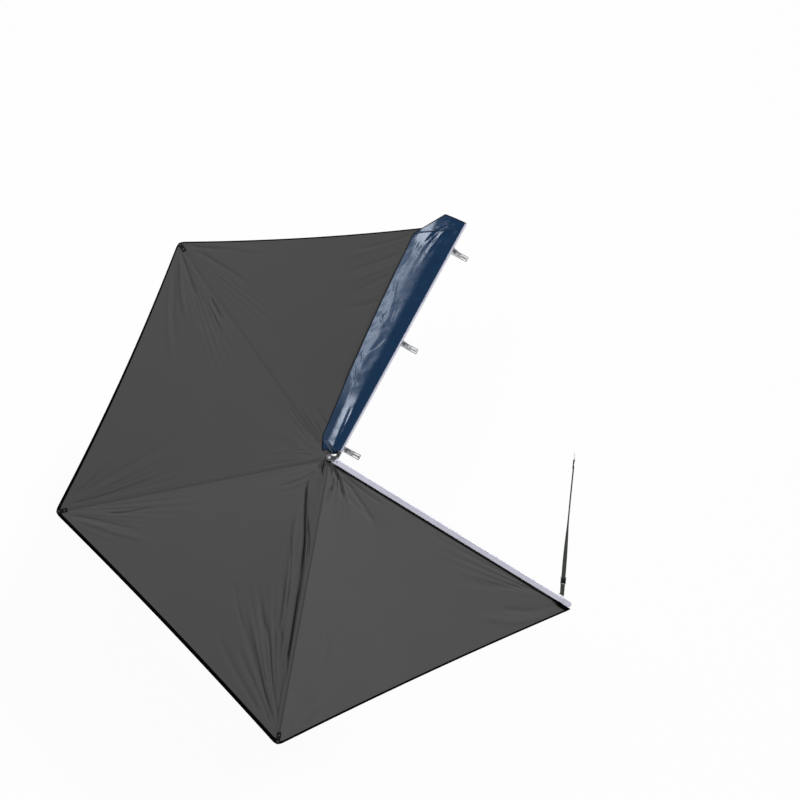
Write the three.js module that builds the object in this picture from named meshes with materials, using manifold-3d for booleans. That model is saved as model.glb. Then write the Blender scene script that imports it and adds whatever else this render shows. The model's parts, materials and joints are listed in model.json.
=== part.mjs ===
// A wrap-round vehicle side awning: a beam on roof-rack brackets, a hub at its rear end with four
// swinging arms stacked on one pin, four canopy panels, a drop-down telescopic leg in every arm, the
// open cover flap along the beam and the tie strap of the last arm. Millimetres, +Z up, +X along the
// beam away from the hub, +Y away from the vehicle. The origin is under the middle bracket's foot.
import * as THREE from "three";
import { mergeVertices } from "three/addons/utils/BufferGeometryUtils.js";
import Module from "manifold-3d";

const wasm = await Module();
wasm.setup();

// Clearances and shared small sizes
const GAP = 0.3; // between touching pieces
const OVERRUN = 4; // how far a cutter runs past what it cuts
const MERGE = 0.0001; // vertices closer than this are one
const ROUND = 18; // sides of a round piece
const SMALL_ROUND = 10; // sides of a small round piece
const CORNER_STEPS = 4; // facets of a rounded corner

// Arms: how far each has swung out from the beam, in degrees
const ARM_ANGLES = [64, 129.5, 198.5, 267];
const ARM_LENGTH = 2500; // hub pin to the fabric's corner
const ARM_WIDTH = 50;
const ARM_HEIGHT = 38;
const ARM_WALL = 2.5;
const ARM_CORNER = 6; // radius of the channel's top corners
const ARM_FLUTE = 0.8; // depth of the flute along each side
const ARM_LIP = 2; // return at the channel's open edges
const ARM_RISE = 2; // underside of a channel above its slab
const ARM_START = 58; // hub pin to the channel's inner end
const SLAB = 50; // pitch of the arms on the pin

// Tip fittings
const TIP_LENGTH = 85; // fitting beyond the channel
const TIP_OVERHANG = 25; // rounded end beyond the fabric's corner
const CLAMP_LENGTH = 100; // plate over the fabric's corner
const CLAMP_WIDTH = 36;
const CLAMP_THICK = 5;
const CLAMP_BOLT_RADIUS = 5;
const CLAMP_BOLT_HEIGHT = 1.5;
const CLAMP_BOLT_SPACING = 52;
const CHEEK = 4.5; // cheeks of the fitting inside the channel
const CHEEK_REACH = 80; // cheeks and plug inside the channel

// Hub
const PIN_RADIUS = 8;
const PIN_HEAD_RADIUS = 14;
const PIN_HEAD_HEIGHT = 9;
const BUSH_WALL = 2.7;
const BUSH_FLANGE_RADIUS = 20;
const BUSH_FLANGE = 1.2;
const BOSS_RADIUS = 29; // round boss of a knuckle
const TONGUE_REACH = 130; // hub pin to the end of a knuckle's tongue
const TONGUE_WALL = 8;
const KNUCKLE_SCREW_X = 78;
const KNUCKLE_SCREW_RADIUS = 3.2;
const KNUCKLE_HEAD_RADIUS = 6.5;
const KNUCKLE_HEAD_HEIGHT = 3;
const HUB_PLATE = 8; // thickness of the bracket's two ears
const HUB_WEB_X = [24, 89]; // web of the bracket, along the beam
const HUB_POST_END = 37; // the narrower post above the beam, clear of the flap's nose as it lifts
const HIGH_EAR_RADIUS = 20;
const NUT_RADIUS = 13.5;
const NUT_HEIGHT = 12;

// Beam
const BEAM_START = 90; // hub pin to the beam's rear end
const BEAM_END = 2585;
const BEAM_FACE = -32; // outer face, from the hub pin
const BEAM_THICK = 30;
const BEAM_BOTTOM = -20; // below the first arm's slab
const BEAM_HEIGHT = 84;
const BEAM_WALL = 2.8;
const BEAM_CORNER = 3;
const SLOT_MOUTH = 10; // slot for the bracket bolts
const SLOT_WIDTH = 21;
const SLOT_DEPTH = 6.5;
const SLOT_LIP = 3;
const SLOT_HEIGHT_SHARE = 0.5; // the slot's place up the beam
const KEDER_RADIUS = 3.2; // round groove that holds a fabric's roped edge
const KEDER_MOUTH = 2.4;
const KEDER_DROP = 22; // panel groove below the beam's top
const CAP_PLATE = 4;
const SPIGOT = 35; // end fittings inside the beam

// Brackets
const BRACKET_PLACES = [130, 1270, 2300]; // along the beam from the hub pin
const BRACKET_WIDTH = 54;
const BRACKET_PLATE = 6;
const BRACKET_RISE = 68;
const FOOT_REACH = 170;
const FOOT_DATUM = 60; // beam's back face to the mount point under the foot
const FOOT_SLOT = 9;
const FOOT_SLOT_LENGTH = 60;
const FOOT_SLOT_PLACE = 130; // beam's back face to the slots' middle
const FOOT_SLOT_SPREAD = 28;
const RIB = 5;
const RIB_REACH = 75;
const RIB_RISE = 55;
const STUD_RADIUS = 4;
const STUD_SPREAD = 30;
const STUD_NUT_RADIUS = 7.5;
const STUD_NUT_HEIGHT = 7;
const STUD_END = 4; // thread showing past the nut
const SLOT_PLATE = 4;
const SLOT_PLATE_WIDTH = 19;
const SLOT_PLATE_LENGTH = 60;

// Legs
const LEG_AXIS = 17.5; // centre of a stowed leg above the channel's underside
const LEG_PIN_BACK = 60; // leg pin behind the channel's outer end
const LEG_RADIUS = 14;
const LEG_WALL = 1.6;
const LEG_LENGTH = 1250;
const LEG_HEAD = 24; // solid head beyond the leg's bore
const LEG_PIN_RADIUS = 4;
const INNER_WALL = 1.6;
const INNER_SHOWS = 62; // inner tube outside the outer one
const INNER_BACK = 3; // inner tube short of the outer one's head
const COLLAR_WALL = 2.3;
const COLLAR_LENGTH = 56;
const COLLAR_SEAT = 30; // collar over the outer tube
const COLLAR_RIBS = 8;
const COLLAR_RIB = 0.7;
const FOOT_RIM = 2; // foot proud of the leg
const FOOT_LENGTH = 30;
const FOOT_SPIGOT = 26;

// Canopy
const CLOTH = 1.5; // solid thickness of a panel
const CLOTH_START = 95; // hub pin to the panels' inner edge
const CLOTH_LAND = 7; // cloth lying flat beyond an arm's side
const SAG = 26; // middle of a panel below its edges
const EDGE_BOWS = [16, -3, -23, -18]; // outer edges drawn in at their middle, or out where negative
const FOLD_HEIGHT = 7; // folds fanning from the hub
const FOLDS_ACROSS = 4;
const CLOTH_ROWS = 10;
const CLOTH_COLUMNS = 18;

// Cover flap, lying open over the first panel
const FLAP_THICK = 2.5;
const FLAP_START = 92; // hinge line's rear end
const FLAP_NOSE = 38; // rear end where it points to the hub
const FLAP_OUTER_START = 137;
const FLAP_HINGE_INSET = 15; // hinge line behind the beam's outer face
const FLAP_LEVEL = 54; // underside of the flap over the first arm's slab
const FLAP_CROWN = 16; // swell of the flap near its free edge
const CROWN_START_SHARE = 0.3;
const FLAP_SPREAD = 1.3; // rows lie closer together by the beam
const FLAP_WIDTH_REAR = 212;
const FLAP_WIDTH_FRONT = 388;
const FLAP_WIDTH_BOW = 16;
const FLAP_OUTER_END = 2262;
const FLAP_INNER_END = 2505;
const GUSSET_OUT_X = 2566;
const GUSSET_OUT = 207; // gusset's outer corner from the hinge line
const FLAP_ROWS = 8;
const FLAP_COLUMNS = 20;

// Tie strap of the last arm
const STRAP_ARM_BACK = 90; // the strap's eye behind the fabric's corner
const STRAP_RUN = [1178, 452]; // eye to hook, in the ground plan
const STRAP_DROP = 25; // hook below the eye
const STRAP_WIDTH = 38;
const STRAP_THICK = 2.4;
const STRAP_SAG = 14;
const EYE_PLATE = 3;
const EYE_LENGTH = 46;
const EYE_HEIGHT = 28;
const EYE_RADIUS = 4;
const EYE_REACH = 18;
const LOOP_LENGTH = 86;
const LOOP_THICK = 5;
const BUCKLE_LENGTH = 62;
const BUCKLE_WIDTH = 48;
const BUCKLE_HEIGHT = 16;
const BUCKLE_WALL = 3;
const LEVER_RADIUS = 4.5;
const LEVER_PIN_RADIUS = 2;
const LEVER_LENGTH = 37;
const LEVER_THICK = 3;
const LEVER_PLACE_SHARE = 0.72; // the lever's pin along the buckle
const TWIST_SHARES = [0.2, 0.5]; // where the webbing turns on edge
const HOOK_RADIUS = 14; // middle of the hook's bend
const WIRE_RADIUS = 2.2;
const LINK_REACH = 24; // triangular link between webbing and hook
const SHANK = 16;
const HOOK_TURN = 200; // degrees of the hook's bend
const STRAP_STEPS = 30;

// Finishes
const aluminium = finish(0xb9bcc6, 0.35, 0.9);
const steel = finish(0xc9ccd2, 0.3, 1);
const black = finish(0x17181a, 0.5, 0.1);
const canopy = finish(0x49494b, 0.85, 0);
const cover = finish(0x1a2c3c, 0.3, 0);
const webbing = finish(0x2b2c2e, 0.8, 0);
const nylon = finish(0xd8d6cc, 0.5, 0);

// Places that follow from the sizes above
const BEAM_BACK = BEAM_FACE - BEAM_THICK;
const BEAM_TOP = BEAM_BOTTOM + BEAM_HEIGHT;
const SLOT_Z = BEAM_BOTTOM + BEAM_HEIGHT * SLOT_HEIGHT_SHARE;
const PANEL_GROOVE_Z = BEAM_TOP - KEDER_DROP;
const ARM_TOP = ARM_RISE + ARM_HEIGHT;
const CHANNEL_END = ARM_LENGTH + TIP_OVERHANG - TIP_LENGTH;
const CHANNEL_HALF = ARM_WIDTH / 2 - ARM_WALL;
const STACK_TOP = SLAB * ARM_ANGLES.length;
const LEG_Z = ARM_RISE + LEG_AXIS;
const LEG_PIN_X = CHANNEL_END - LEG_PIN_BACK;
const LEG_END = LEG_PIN_X - LEG_LENGTH;
const INNER_RADIUS = LEG_RADIUS - LEG_WALL - GAP;
const COLLAR_RADIUS = LEG_RADIUS + COLLAR_WALL;
const FOOT_RADIUS = LEG_RADIUS + FOOT_RIM;
const INNER_END = LEG_END - INNER_SHOWS;
const INNER_TOP = LEG_PIN_X - LEG_HEAD - INNER_BACK;
const STRAP_ARM_PLACE = ARM_LENGTH - STRAP_ARM_BACK;
const BUSH_RADIUS = PIN_RADIUS + GAP + BUSH_WALL;
const ARM_COUNT = ARM_ANGLES.length;

function finish(color, roughness, metalness) {
  return new THREE.MeshStandardMaterial({ color, roughness, metalness });
}

// Solids and booleans
function solid(geometry) {
  geometry.deleteAttribute("normal");
  geometry.deleteAttribute("uv");
  const merged = mergeVertices(geometry, MERGE);
  const vertProperties = merged.attributes.position.array;
  const triVerts = new Uint32Array(merged.index.array);
  return new wasm.Manifold(new wasm.Mesh({ numProp: 3, vertProperties, triVerts }));
}

function joined(first, ...rest) {
  return rest.reduce((sum, piece) => sum.add(piece), first);
}

function cut(body, ...tools) {
  return tools.reduce((left, tool) => left.subtract(tool), body);
}

function named(name, body, material) {
  const made = body.getMesh();
  const geometry = new THREE.BufferGeometry();
  geometry.setAttribute("position", new THREE.BufferAttribute(made.vertProperties, 3));
  geometry.setIndex(new THREE.BufferAttribute(made.triVerts, 1));
  geometry.computeVertexNormals();
  const mesh = new THREE.Mesh(geometry, material);
  mesh.name = name;
  return mesh;
}

// A block from its lowest to its highest corner
function block(low, high) {
  const size = high.map((value, i) => value - low[i]);
  const middle = high.map((value, i) => (value + low[i]) / 2);
  return solid(new THREE.BoxGeometry(...size).translate(...middle));
}

// Round bars along each axis
function uprightBar(radius, z0, z1, x = 0, y = 0, sides = ROUND) {
  const bar = new THREE.CylinderGeometry(radius, radius, z1 - z0, sides);
  return solid(bar.rotateX(Math.PI / 2).translate(x, y, (z0 + z1) / 2));
}

function barAlongX(radius, x0, x1, y, z, sides = ROUND) {
  const bar = new THREE.CylinderGeometry(radius, radius, x1 - x0, sides);
  return solid(bar.rotateZ(-Math.PI / 2).translate((x0 + x1) / 2, y, z));
}

function barAlongY(radius, y0, y1, x, z, sides = ROUND) {
  const bar = new THREE.CylinderGeometry(radius, radius, y1 - y0, sides);
  return solid(bar.translate(x, (y0 + y1) / 2, z));
}

// A plan outline raised from z0 to z1
function raised(shape, z0, z1) {
  const options = { depth: z1 - z0, bevelEnabled: false, curveSegments: CORNER_STEPS * 2 };
  return solid(new THREE.ExtrudeGeometry(shape, options).translate(0, 0, z0));
}

// A section in Y and Z drawn out from x0 to x1
function drawnOut(shape, x0, x1) {
  const options = { depth: x1 - x0, bevelEnabled: false, curveSegments: CORNER_STEPS };
  const geometry = new THREE.ExtrudeGeometry(shape, options);
  const turn = new THREE.Matrix4();
  const xAxis = new THREE.Vector3(0, 1, 0);
  const yAxis = new THREE.Vector3(0, 0, 1);
  const zAxis = new THREE.Vector3(1, 0, 0);
  turn.makeBasis(xAxis, yAxis, zAxis);
  return solid(geometry.applyMatrix4(turn).translate(x0, 0, 0));
}

function outline(points) {
  return new THREE.Shape(points.map(([x, y]) => new THREE.Vector2(x, y)));
}

// A rectangle with round corners, from its lowest to its highest corner
function roundedRectangle([x0, y0], [x1, y1], radius) {
  const shape = new THREE.Shape();
  shape.absarc(x0 + radius, y0 + radius, radius, Math.PI, Math.PI * 1.5);
  shape.absarc(x1 - radius, y0 + radius, radius, Math.PI * 1.5, Math.PI * 2);
  shape.absarc(x1 - radius, y1 - radius, radius, 0, Math.PI / 2);
  shape.absarc(x0 + radius, y1 - radius, radius, Math.PI / 2, Math.PI);
  shape.closePath();
  return shape;
}

// A closed sheet over a grid: point(u, v) gives its underside, and it is thick along Z
function sheet(rows, columns, thickness, point) {
  const positions = [];
  const place = (i, j, side) => (side * (rows + 1) + i) * (columns + 1) + j;
  for (const side of [0, 1]) {
    for (let i = 0; i <= rows; i++) {
      for (let j = 0; j <= columns; j++) {
        const [x, y, z] = point(i / rows, j / columns);
        positions.push(x, y, z + side * thickness);
      }
    }
  }
  const index = [];
  const quad = (a, b, c, d) => index.push(a, b, c, a, c, d);
  for (let i = 0; i < rows; i++) {
    for (let j = 0; j < columns; j++) {
      const corner = (side) => [
        place(i, j, side),
        place(i + 1, j, side),
        place(i + 1, j + 1, side),
        place(i, j + 1, side),
      ];
      quad(...corner(1));
      quad(...corner(0).reverse());
    }
  }
  for (let i = 0; i < rows; i++) {
    quad(place(i, 0, 0), place(i + 1, 0, 0), place(i + 1, 0, 1), place(i, 0, 1));
    quad(place(i, columns, 1), place(i + 1, columns, 1), place(i + 1, columns, 0), place(i, columns, 0));
  }
  for (let j = 0; j < columns; j++) {
    quad(place(0, j, 1), place(0, j + 1, 1), place(0, j + 1, 0), place(0, j, 0));
    quad(place(rows, j, 0), place(rows, j + 1, 0), place(rows, j + 1, 1), place(rows, j, 1));
  }
  const geometry = new THREE.BufferGeometry();
  geometry.setAttribute("position", new THREE.Float32BufferAttribute(positions, 3));
  geometry.setIndex(index);
  return solid(geometry);
}

// Beam and what is fixed to it
function kederGroove(y, z, mouthLow, mouthHigh) {
  const rope = barAlongX(KEDER_RADIUS, BEAM_START - OVERRUN, BEAM_END + OVERRUN, y, z, SMALL_ROUND);
  const low = [BEAM_START - OVERRUN, mouthLow[0], mouthLow[1]];
  const high = [BEAM_END + OVERRUN, mouthHigh[0], mouthHigh[1]];
  return rope.add(block(low, high));
}

function baseBeam() {
  const [x0, x1] = [BEAM_START, BEAM_END];
  const skin = roundedRectangle([BEAM_BACK, BEAM_BOTTOM], [BEAM_FACE, BEAM_TOP], BEAM_CORNER);
  const hollowLow = [x0 - OVERRUN, BEAM_BACK + BEAM_WALL, BEAM_BOTTOM + BEAM_WALL];
  const hollowHigh = [x1 + OVERRUN, BEAM_FACE - BEAM_WALL, BEAM_TOP - BEAM_WALL];
  const tube = cut(drawnOut(skin, x0, x1), block(hollowLow, hollowHigh));
  const wall = BEAM_WALL;
  const half = SLOT_WIDTH / 2;
  const slotBack = BEAM_BACK + SLOT_LIP + SLOT_DEPTH;
  const housing = [x0, BEAM_BACK + wall / 2, SLOT_Z - half - wall];
  const slotBlock = block(housing, [x1, slotBack + wall, SLOT_Z + half + wall]);
  const slotLow = [x0 - OVERRUN, BEAM_BACK + SLOT_LIP, SLOT_Z - half];
  const slotRoom = block(slotLow, [x1 + OVERRUN, slotBack, SLOT_Z + half]);
  const mouthLow = [x0 - OVERRUN, BEAM_BACK - OVERRUN, SLOT_Z - SLOT_MOUTH / 2];
  const mouth = block(mouthLow, [x1 + OVERRUN, slotBack - wall, SLOT_Z + SLOT_MOUTH / 2]);
  const deep = KEDER_RADIUS + wall;
  const frontZ = PANEL_GROOVE_Z;
  const frontY = BEAM_FACE - deep;
  const frontBlock = block([x0, frontY - deep, frontZ - deep], [x1, BEAM_FACE - wall / 2, frontZ + deep]);
  const half2 = KEDER_MOUTH / 2;
  const throat = [BEAM_FACE + OVERRUN, frontZ + half2];
  const frontGroove = kederGroove(frontY, frontZ, [frontY, frontZ - half2], throat);
  const topY = BEAM_BACK + deep + wall;
  const topZ = BEAM_TOP - deep;
  const topBlock = block([x0, topY - deep, topZ - deep], [x1, topY + deep, BEAM_TOP - wall / 2]);
  const topGroove = kederGroove(topY, topZ, [topY - half2, topZ], [topY + half2, BEAM_TOP + OVERRUN]);
  const body = joined(tube, slotBlock, frontBlock, topBlock);
  return named("base_beam", cut(body, slotRoom, mouth, frontGroove, topGroove), aluminium);
}

// Two lugs that plug into the hollow beam, below the bolt slot and beside the grooves
function beamLugs(x0, x1) {
  const gap = GAP;
  const low = BEAM_BOTTOM + BEAM_WALL + gap;
  const top = SLOT_Z - SLOT_WIDTH / 2 - BEAM_WALL - gap;
  const back = BEAM_BACK + BEAM_WALL + gap;
  const front = BEAM_FACE - BEAM_WALL - gap;
  return block([x0, back, low], [x1, front, top]);
}

function endCap() {
  const plate = roundedRectangle([BEAM_BACK, BEAM_BOTTOM], [BEAM_FACE, BEAM_TOP], BEAM_CORNER);
  const cap = drawnOut(plate, BEAM_END + GAP, BEAM_END + GAP + CAP_PLATE);
  return named("beam_end_cap", cap.add(beamLugs(BEAM_END - SPIGOT, BEAM_END + CAP_PLATE)), black);
}

function footSlot(x) {
  const half = (FOOT_SLOT_LENGTH - FOOT_SLOT) / 2;
  const y = BEAM_BACK - FOOT_SLOT_PLACE;
  const radius = FOOT_SLOT / 2;
  const [z0, z1] = [BEAM_BOTTOM - OVERRUN, BEAM_BOTTOM + BRACKET_PLATE + OVERRUN];
  const ends = [y - half, y + half].map((place) => uprightBar(radius, z0, z1, x, place, SMALL_ROUND));
  return joined(block([x - radius, y - half, z0], [x + radius, y + half, z1]), ...ends);
}

// An angle bracket: a plate against the beam's back, a slotted foot on the rack bar and two ribs
function bracket(name, x) {
  const half = BRACKET_WIDTH / 2;
  const back = BEAM_BACK - GAP;
  const plateLow = [x - half, back - BRACKET_PLATE, BEAM_BOTTOM];
  const plate = block(plateLow, [x + half, back, BEAM_BOTTOM + BRACKET_RISE]);
  const corner = FOOT_SLOT;
  const foot = raised(
    roundedRectangle([x - half, back - FOOT_REACH], [x + half, back - BRACKET_PLATE / 2], corner),
    BEAM_BOTTOM,
    BEAM_BOTTOM + BRACKET_PLATE,
  );
  const start = BEAM_BACK - GAP - BRACKET_PLATE / 2;
  const floor = BEAM_BOTTOM + BRACKET_PLATE / 2;
  const triangle = outline([
    [start, floor],
    [start, floor + RIB_RISE],
    [start - RIB_REACH, floor],
  ]);
  const ribs = [x - half, x + half - RIB].map((place) => drawnOut(triangle, place, place + RIB));
  const slots = [-1, 1].map((side) => footSlot(x + (side * FOOT_SLOT_SPREAD) / 2));
  const holes = [-1, 1].map((side) => {
    const place = x + (side * STUD_SPREAD) / 2;
    const [y0, y1] = [back - BRACKET_PLATE - OVERRUN, back + OVERRUN];
    return barAlongY(STUD_RADIUS + GAP, y0, y1, place, SLOT_Z, SMALL_ROUND);
  });
  return named(name, cut(joined(plate, foot, ...ribs), ...slots, ...holes), steel);
}

// The plate in the beam's slot with its two studs and their nuts
function slotPlate(name, x) {
  const inner = BEAM_BACK + SLOT_LIP + GAP;
  const half = SLOT_PLATE_WIDTH / 2;
  const low = [x - SLOT_PLATE_LENGTH / 2, inner, SLOT_Z - half];
  const strip = block(low, [x + SLOT_PLATE_LENGTH / 2, inner + SLOT_PLATE, SLOT_Z + half]);
  const face = BEAM_BACK - GAP - BRACKET_PLATE - GAP;
  const studs = [-1, 1].flatMap((side) => {
    const place = x + (side * STUD_SPREAD) / 2;
    const end = face - STUD_NUT_HEIGHT - STUD_END;
    const stud = barAlongY(STUD_RADIUS, end, inner + SLOT_PLATE / 2, place, SLOT_Z, SMALL_ROUND);
    return [stud, barAlongY(STUD_NUT_RADIUS, face - STUD_NUT_HEIGHT, face, place, SLOT_Z, 6)];
  });
  return named(name, joined(strip, ...studs), steel);
}

// An ear of the hub bracket: round about the pin, and square where it meets the web
function hubEar(radius, end) {
  const ear = new THREE.Shape();
  ear.absarc(0, 0, radius, 0, Math.PI * 1.5);
  ear.lineTo(HUB_WEB_X[0], BEAM_BACK);
  ear.lineTo(end, BEAM_BACK);
  ear.lineTo(end, BEAM_FACE);
  ear.lineTo(HUB_WEB_X[0], BEAM_FACE);
  ear.closePath();
  return ear;
}

// The bracket at the beam's rear end: a web, and an ear below and above the stack of arms
function hubBracket() {
  const [x0, x1] = HUB_WEB_X;
  const post = [HUB_POST_END, BEAM_FACE];
  const web = raised(roundedRectangle([x0, BEAM_BACK], [x1, BEAM_FACE], BEAM_CORNER), BEAM_BOTTOM, BEAM_TOP);
  const postShape = roundedRectangle([x0, BEAM_BACK], post, BEAM_CORNER);
  const upper = raised(postShape, BEAM_BOTTOM, STACK_TOP + HUB_PLATE);
  const lowEar = raised(hubEar(BOSS_RADIUS, x1), -GAP - HUB_PLATE, -GAP);
  const highEar = raised(hubEar(HIGH_EAR_RADIUS, HUB_POST_END), STACK_TOP + GAP, STACK_TOP + GAP + HUB_PLATE);
  const bore = uprightBar(PIN_RADIUS + GAP, BEAM_BOTTOM, STACK_TOP + SLAB);
  const lug = beamLugs(x1 - BEAM_CORNER, BEAM_START + SPIGOT);
  return named("hub_bracket", cut(joined(web, upper, lowEar, highEar, lug), bore), steel);
}

function hubPin() {
  const top = STACK_TOP + GAP + HUB_PLATE + GAP;
  const bottom = -GAP - HUB_PLATE - GAP - NUT_HEIGHT - OVERRUN;
  const crown = PIN_HEAD_HEIGHT / 3;
  const profile = [
    [0, bottom],
    [PIN_RADIUS, bottom],
    [PIN_RADIUS, top],
    [PIN_HEAD_RADIUS, top],
    [PIN_HEAD_RADIUS, top + PIN_HEAD_HEIGHT - 2 * crown],
    [PIN_HEAD_RADIUS - crown, top + PIN_HEAD_HEIGHT - crown],
    [PIN_HEAD_RADIUS / 2, top + PIN_HEAD_HEIGHT],
    [0, top + PIN_HEAD_HEIGHT],
  ];
  const points = profile.map(([x, y]) => new THREE.Vector2(x, y));
  return named("hub_pin", solid(new THREE.LatheGeometry(points, ROUND).rotateX(Math.PI / 2)), steel);
}

function hubNut() {
  const top = -GAP - HUB_PLATE - GAP;
  const hexagon = uprightBar(NUT_RADIUS, top - NUT_HEIGHT, top, 0, 0, 6);
  const bore = uprightBar(PIN_RADIUS + GAP, top - NUT_HEIGHT - OVERRUN, top + OVERRUN);
  return named("hub_nut", hexagon.subtract(bore), steel);
}

// Pieces of one arm, drawn along +X from the hub pin with the slab's floor at Z zero
function channelSection() {
  const half = ARM_WIDTH / 2;
  const low = ARM_RISE;
  const inner = CHANNEL_HALF;
  const ceiling = ARM_TOP - ARM_WALL;
  const middle = ARM_RISE + ARM_HEIGHT / 2;
  const shape = new THREE.Shape();
  shape.moveTo(-inner + ARM_LIP, low);
  shape.lineTo(-inner + ARM_LIP, low + ARM_WALL);
  shape.lineTo(-inner, low + ARM_WALL);
  shape.lineTo(-inner, ceiling);
  shape.lineTo(inner, ceiling);
  shape.lineTo(inner, low + ARM_WALL);
  shape.lineTo(inner - ARM_LIP, low + ARM_WALL);
  shape.lineTo(inner - ARM_LIP, low);
  shape.lineTo(half, low);
  shape.lineTo(half, middle - ARM_FLUTE);
  shape.lineTo(half - ARM_FLUTE, middle);
  shape.lineTo(half, middle + ARM_FLUTE);
  shape.absarc(half - ARM_CORNER, ARM_TOP - ARM_CORNER, ARM_CORNER, 0, Math.PI / 2);
  shape.absarc(-half + ARM_CORNER, ARM_TOP - ARM_CORNER, ARM_CORNER, Math.PI / 2, Math.PI);
  shape.lineTo(-half, middle + ARM_FLUTE);
  shape.lineTo(-half + ARM_FLUTE, middle);
  shape.lineTo(-half, middle - ARM_FLUTE);
  shape.lineTo(-half, low);
  shape.closePath();
  return shape;
}

function armChannel(name) {
  const place = [KNUCKLE_SCREW_X, 0, SMALL_ROUND];
  const hole = uprightBar(KNUCKLE_SCREW_RADIUS + GAP, ARM_TOP - ARM_CORNER, ARM_TOP + OVERRUN, ...place);
  return named(name, drawnOut(channelSection(), ARM_START, CHANNEL_END).subtract(hole), aluminium);
}

function knuckle(name, material) {
  const half = CHANNEL_HALF - GAP;
  const ceiling = ARM_TOP - ARM_WALL - GAP;
  const floor = ARM_RISE + ARM_WALL + GAP;
  const boss = uprightBar(BOSS_RADIUS, BUSH_FLANGE + 2 * GAP, SLAB - GAP);
  const tongue = block([0, -half, floor], [TONGUE_REACH, half, ceiling]);
  const pocketLow = [ARM_START, TONGUE_WALL - half, floor - OVERRUN];
  const pocket = block(pocketLow, [TONGUE_REACH - TONGUE_WALL, half - TONGUE_WALL, ceiling - TONGUE_WALL]);
  const bore = uprightBar(BUSH_RADIUS + GAP, -OVERRUN, SLAB + OVERRUN);
  const headFloor = ARM_TOP + GAP;
  const headTop = headFloor + KNUCKLE_HEAD_HEIGHT;
  const place = [KNUCKLE_SCREW_X, 0, SMALL_ROUND];
  const middle = (headFloor + headTop) / 2;
  const screw = uprightBar(KNUCKLE_SCREW_RADIUS, ceiling - TONGUE_WALL / 2, middle, ...place);
  const head = uprightBar(KNUCKLE_HEAD_RADIUS, headFloor, headTop, ...place);
  return named(name, joined(cut(boss.add(tongue), pocket, bore), screw, head), material);
}

function bush(name) {
  const barrel = uprightBar(BUSH_RADIUS, GAP / 2, SLAB - GAP / 2);
  const flange = uprightBar(BUSH_FLANGE_RADIUS, GAP / 2, GAP / 2 + BUSH_FLANGE);
  return named(name, cut(barrel.add(flange), uprightBar(PIN_RADIUS + GAP, -OVERRUN, SLAB + OVERRUN)), nylon);
}

// An outline with a round nose, from x0 to x1
function nosed(x0, x1, half) {
  const shape = new THREE.Shape();
  shape.moveTo(x0, -half);
  shape.lineTo(x1 - half, -half);
  shape.absarc(x1 - half, 0, half, -Math.PI / 2, Math.PI / 2);
  shape.lineTo(x0, half);
  shape.closePath();
  return shape;
}

// The end fitting: a nosed body, cheeks inside the channel for the leg's pin, and on the arms that
// carry cloth on top a plate that clamps the cloth's corner with two bolts
function tipFitting(name, clamps) {
  const end = ARM_LENGTH + TIP_OVERHANG;
  const start = CHANNEL_END + GAP;
  const body = raised(nosed(start, end, ARM_WIDTH / 2), ARM_RISE, ARM_TOP);
  const half = CHANNEL_HALF - GAP;
  const floor = ARM_RISE + ARM_WALL + GAP;
  const ceiling = ARM_TOP - ARM_WALL - GAP;
  const plug = block([CHANNEL_END - CHEEK_REACH, -half, floor], [start + OVERRUN, half, ceiling]);
  const bayLow = [CHANNEL_END - CHEEK_REACH - OVERRUN, CHEEK - half, ARM_RISE - OVERRUN];
  const bay = block(bayLow, [CHANNEL_END - LEG_PIN_BACK / 2, half - CHEEK, ARM_TOP + OVERRUN]);
  const hole = barAlongY(LEG_PIN_RADIUS + GAP, -ARM_WIDTH, ARM_WIDTH, LEG_PIN_X, LEG_Z, SMALL_ROUND);
  const base = cut(body.add(plug), bay, hole);
  if (!clamps) return named(name, base, aluminium);
  const seat = ARM_TOP + CLOTH + 2 * GAP;
  const nose = nosed(end - CLAMP_LENGTH, end, CLAMP_WIDTH / 2);
  const plate = raised(nose, seat, seat + CLAMP_THICK);
  const wall = raised(nosed(ARM_LENGTH + GAP, end, CLAMP_WIDTH / 2), ARM_TOP - OVERRUN, seat + CLAMP_THICK);
  const bolts = [-1, 1].map((side) => {
    const x = end - CLAMP_LENGTH / 2 + (side * CLAMP_BOLT_SPACING) / 2;
    return uprightBar(CLAMP_BOLT_RADIUS, seat, seat + CLAMP_THICK + CLAMP_BOLT_HEIGHT, x, 0, SMALL_ROUND);
  });
  return named(name, joined(base, plate, wall, ...bolts), black);
}

function legPin(name) {
  const half = CHANNEL_HALF - GAP;
  return named(name, barAlongY(LEG_PIN_RADIUS, -half, half, LEG_PIN_X, LEG_Z, SMALL_ROUND), steel);
}

function legTube(name) {
  const headX = LEG_PIN_X - LEG_HEAD;
  const tube = barAlongX(LEG_RADIUS, LEG_END, headX + OVERRUN, 0, LEG_Z);
  const bore = barAlongX(LEG_RADIUS - LEG_WALL, LEG_END - OVERRUN, headX, 0, LEG_Z);
  const half = LEG_RADIUS - LEG_WALL;
  const eye = barAlongY(half, -half, half, LEG_PIN_X, LEG_Z, SMALL_ROUND);
  const neck = block([headX, -half, LEG_Z - half], [LEG_PIN_X, half, LEG_Z + half]);
  const hole = barAlongY(LEG_PIN_RADIUS + GAP, -ARM_WIDTH, ARM_WIDTH, LEG_PIN_X, LEG_Z, SMALL_ROUND);
  return named(name, cut(joined(tube, neck, eye), bore, hole), aluminium);
}

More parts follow.
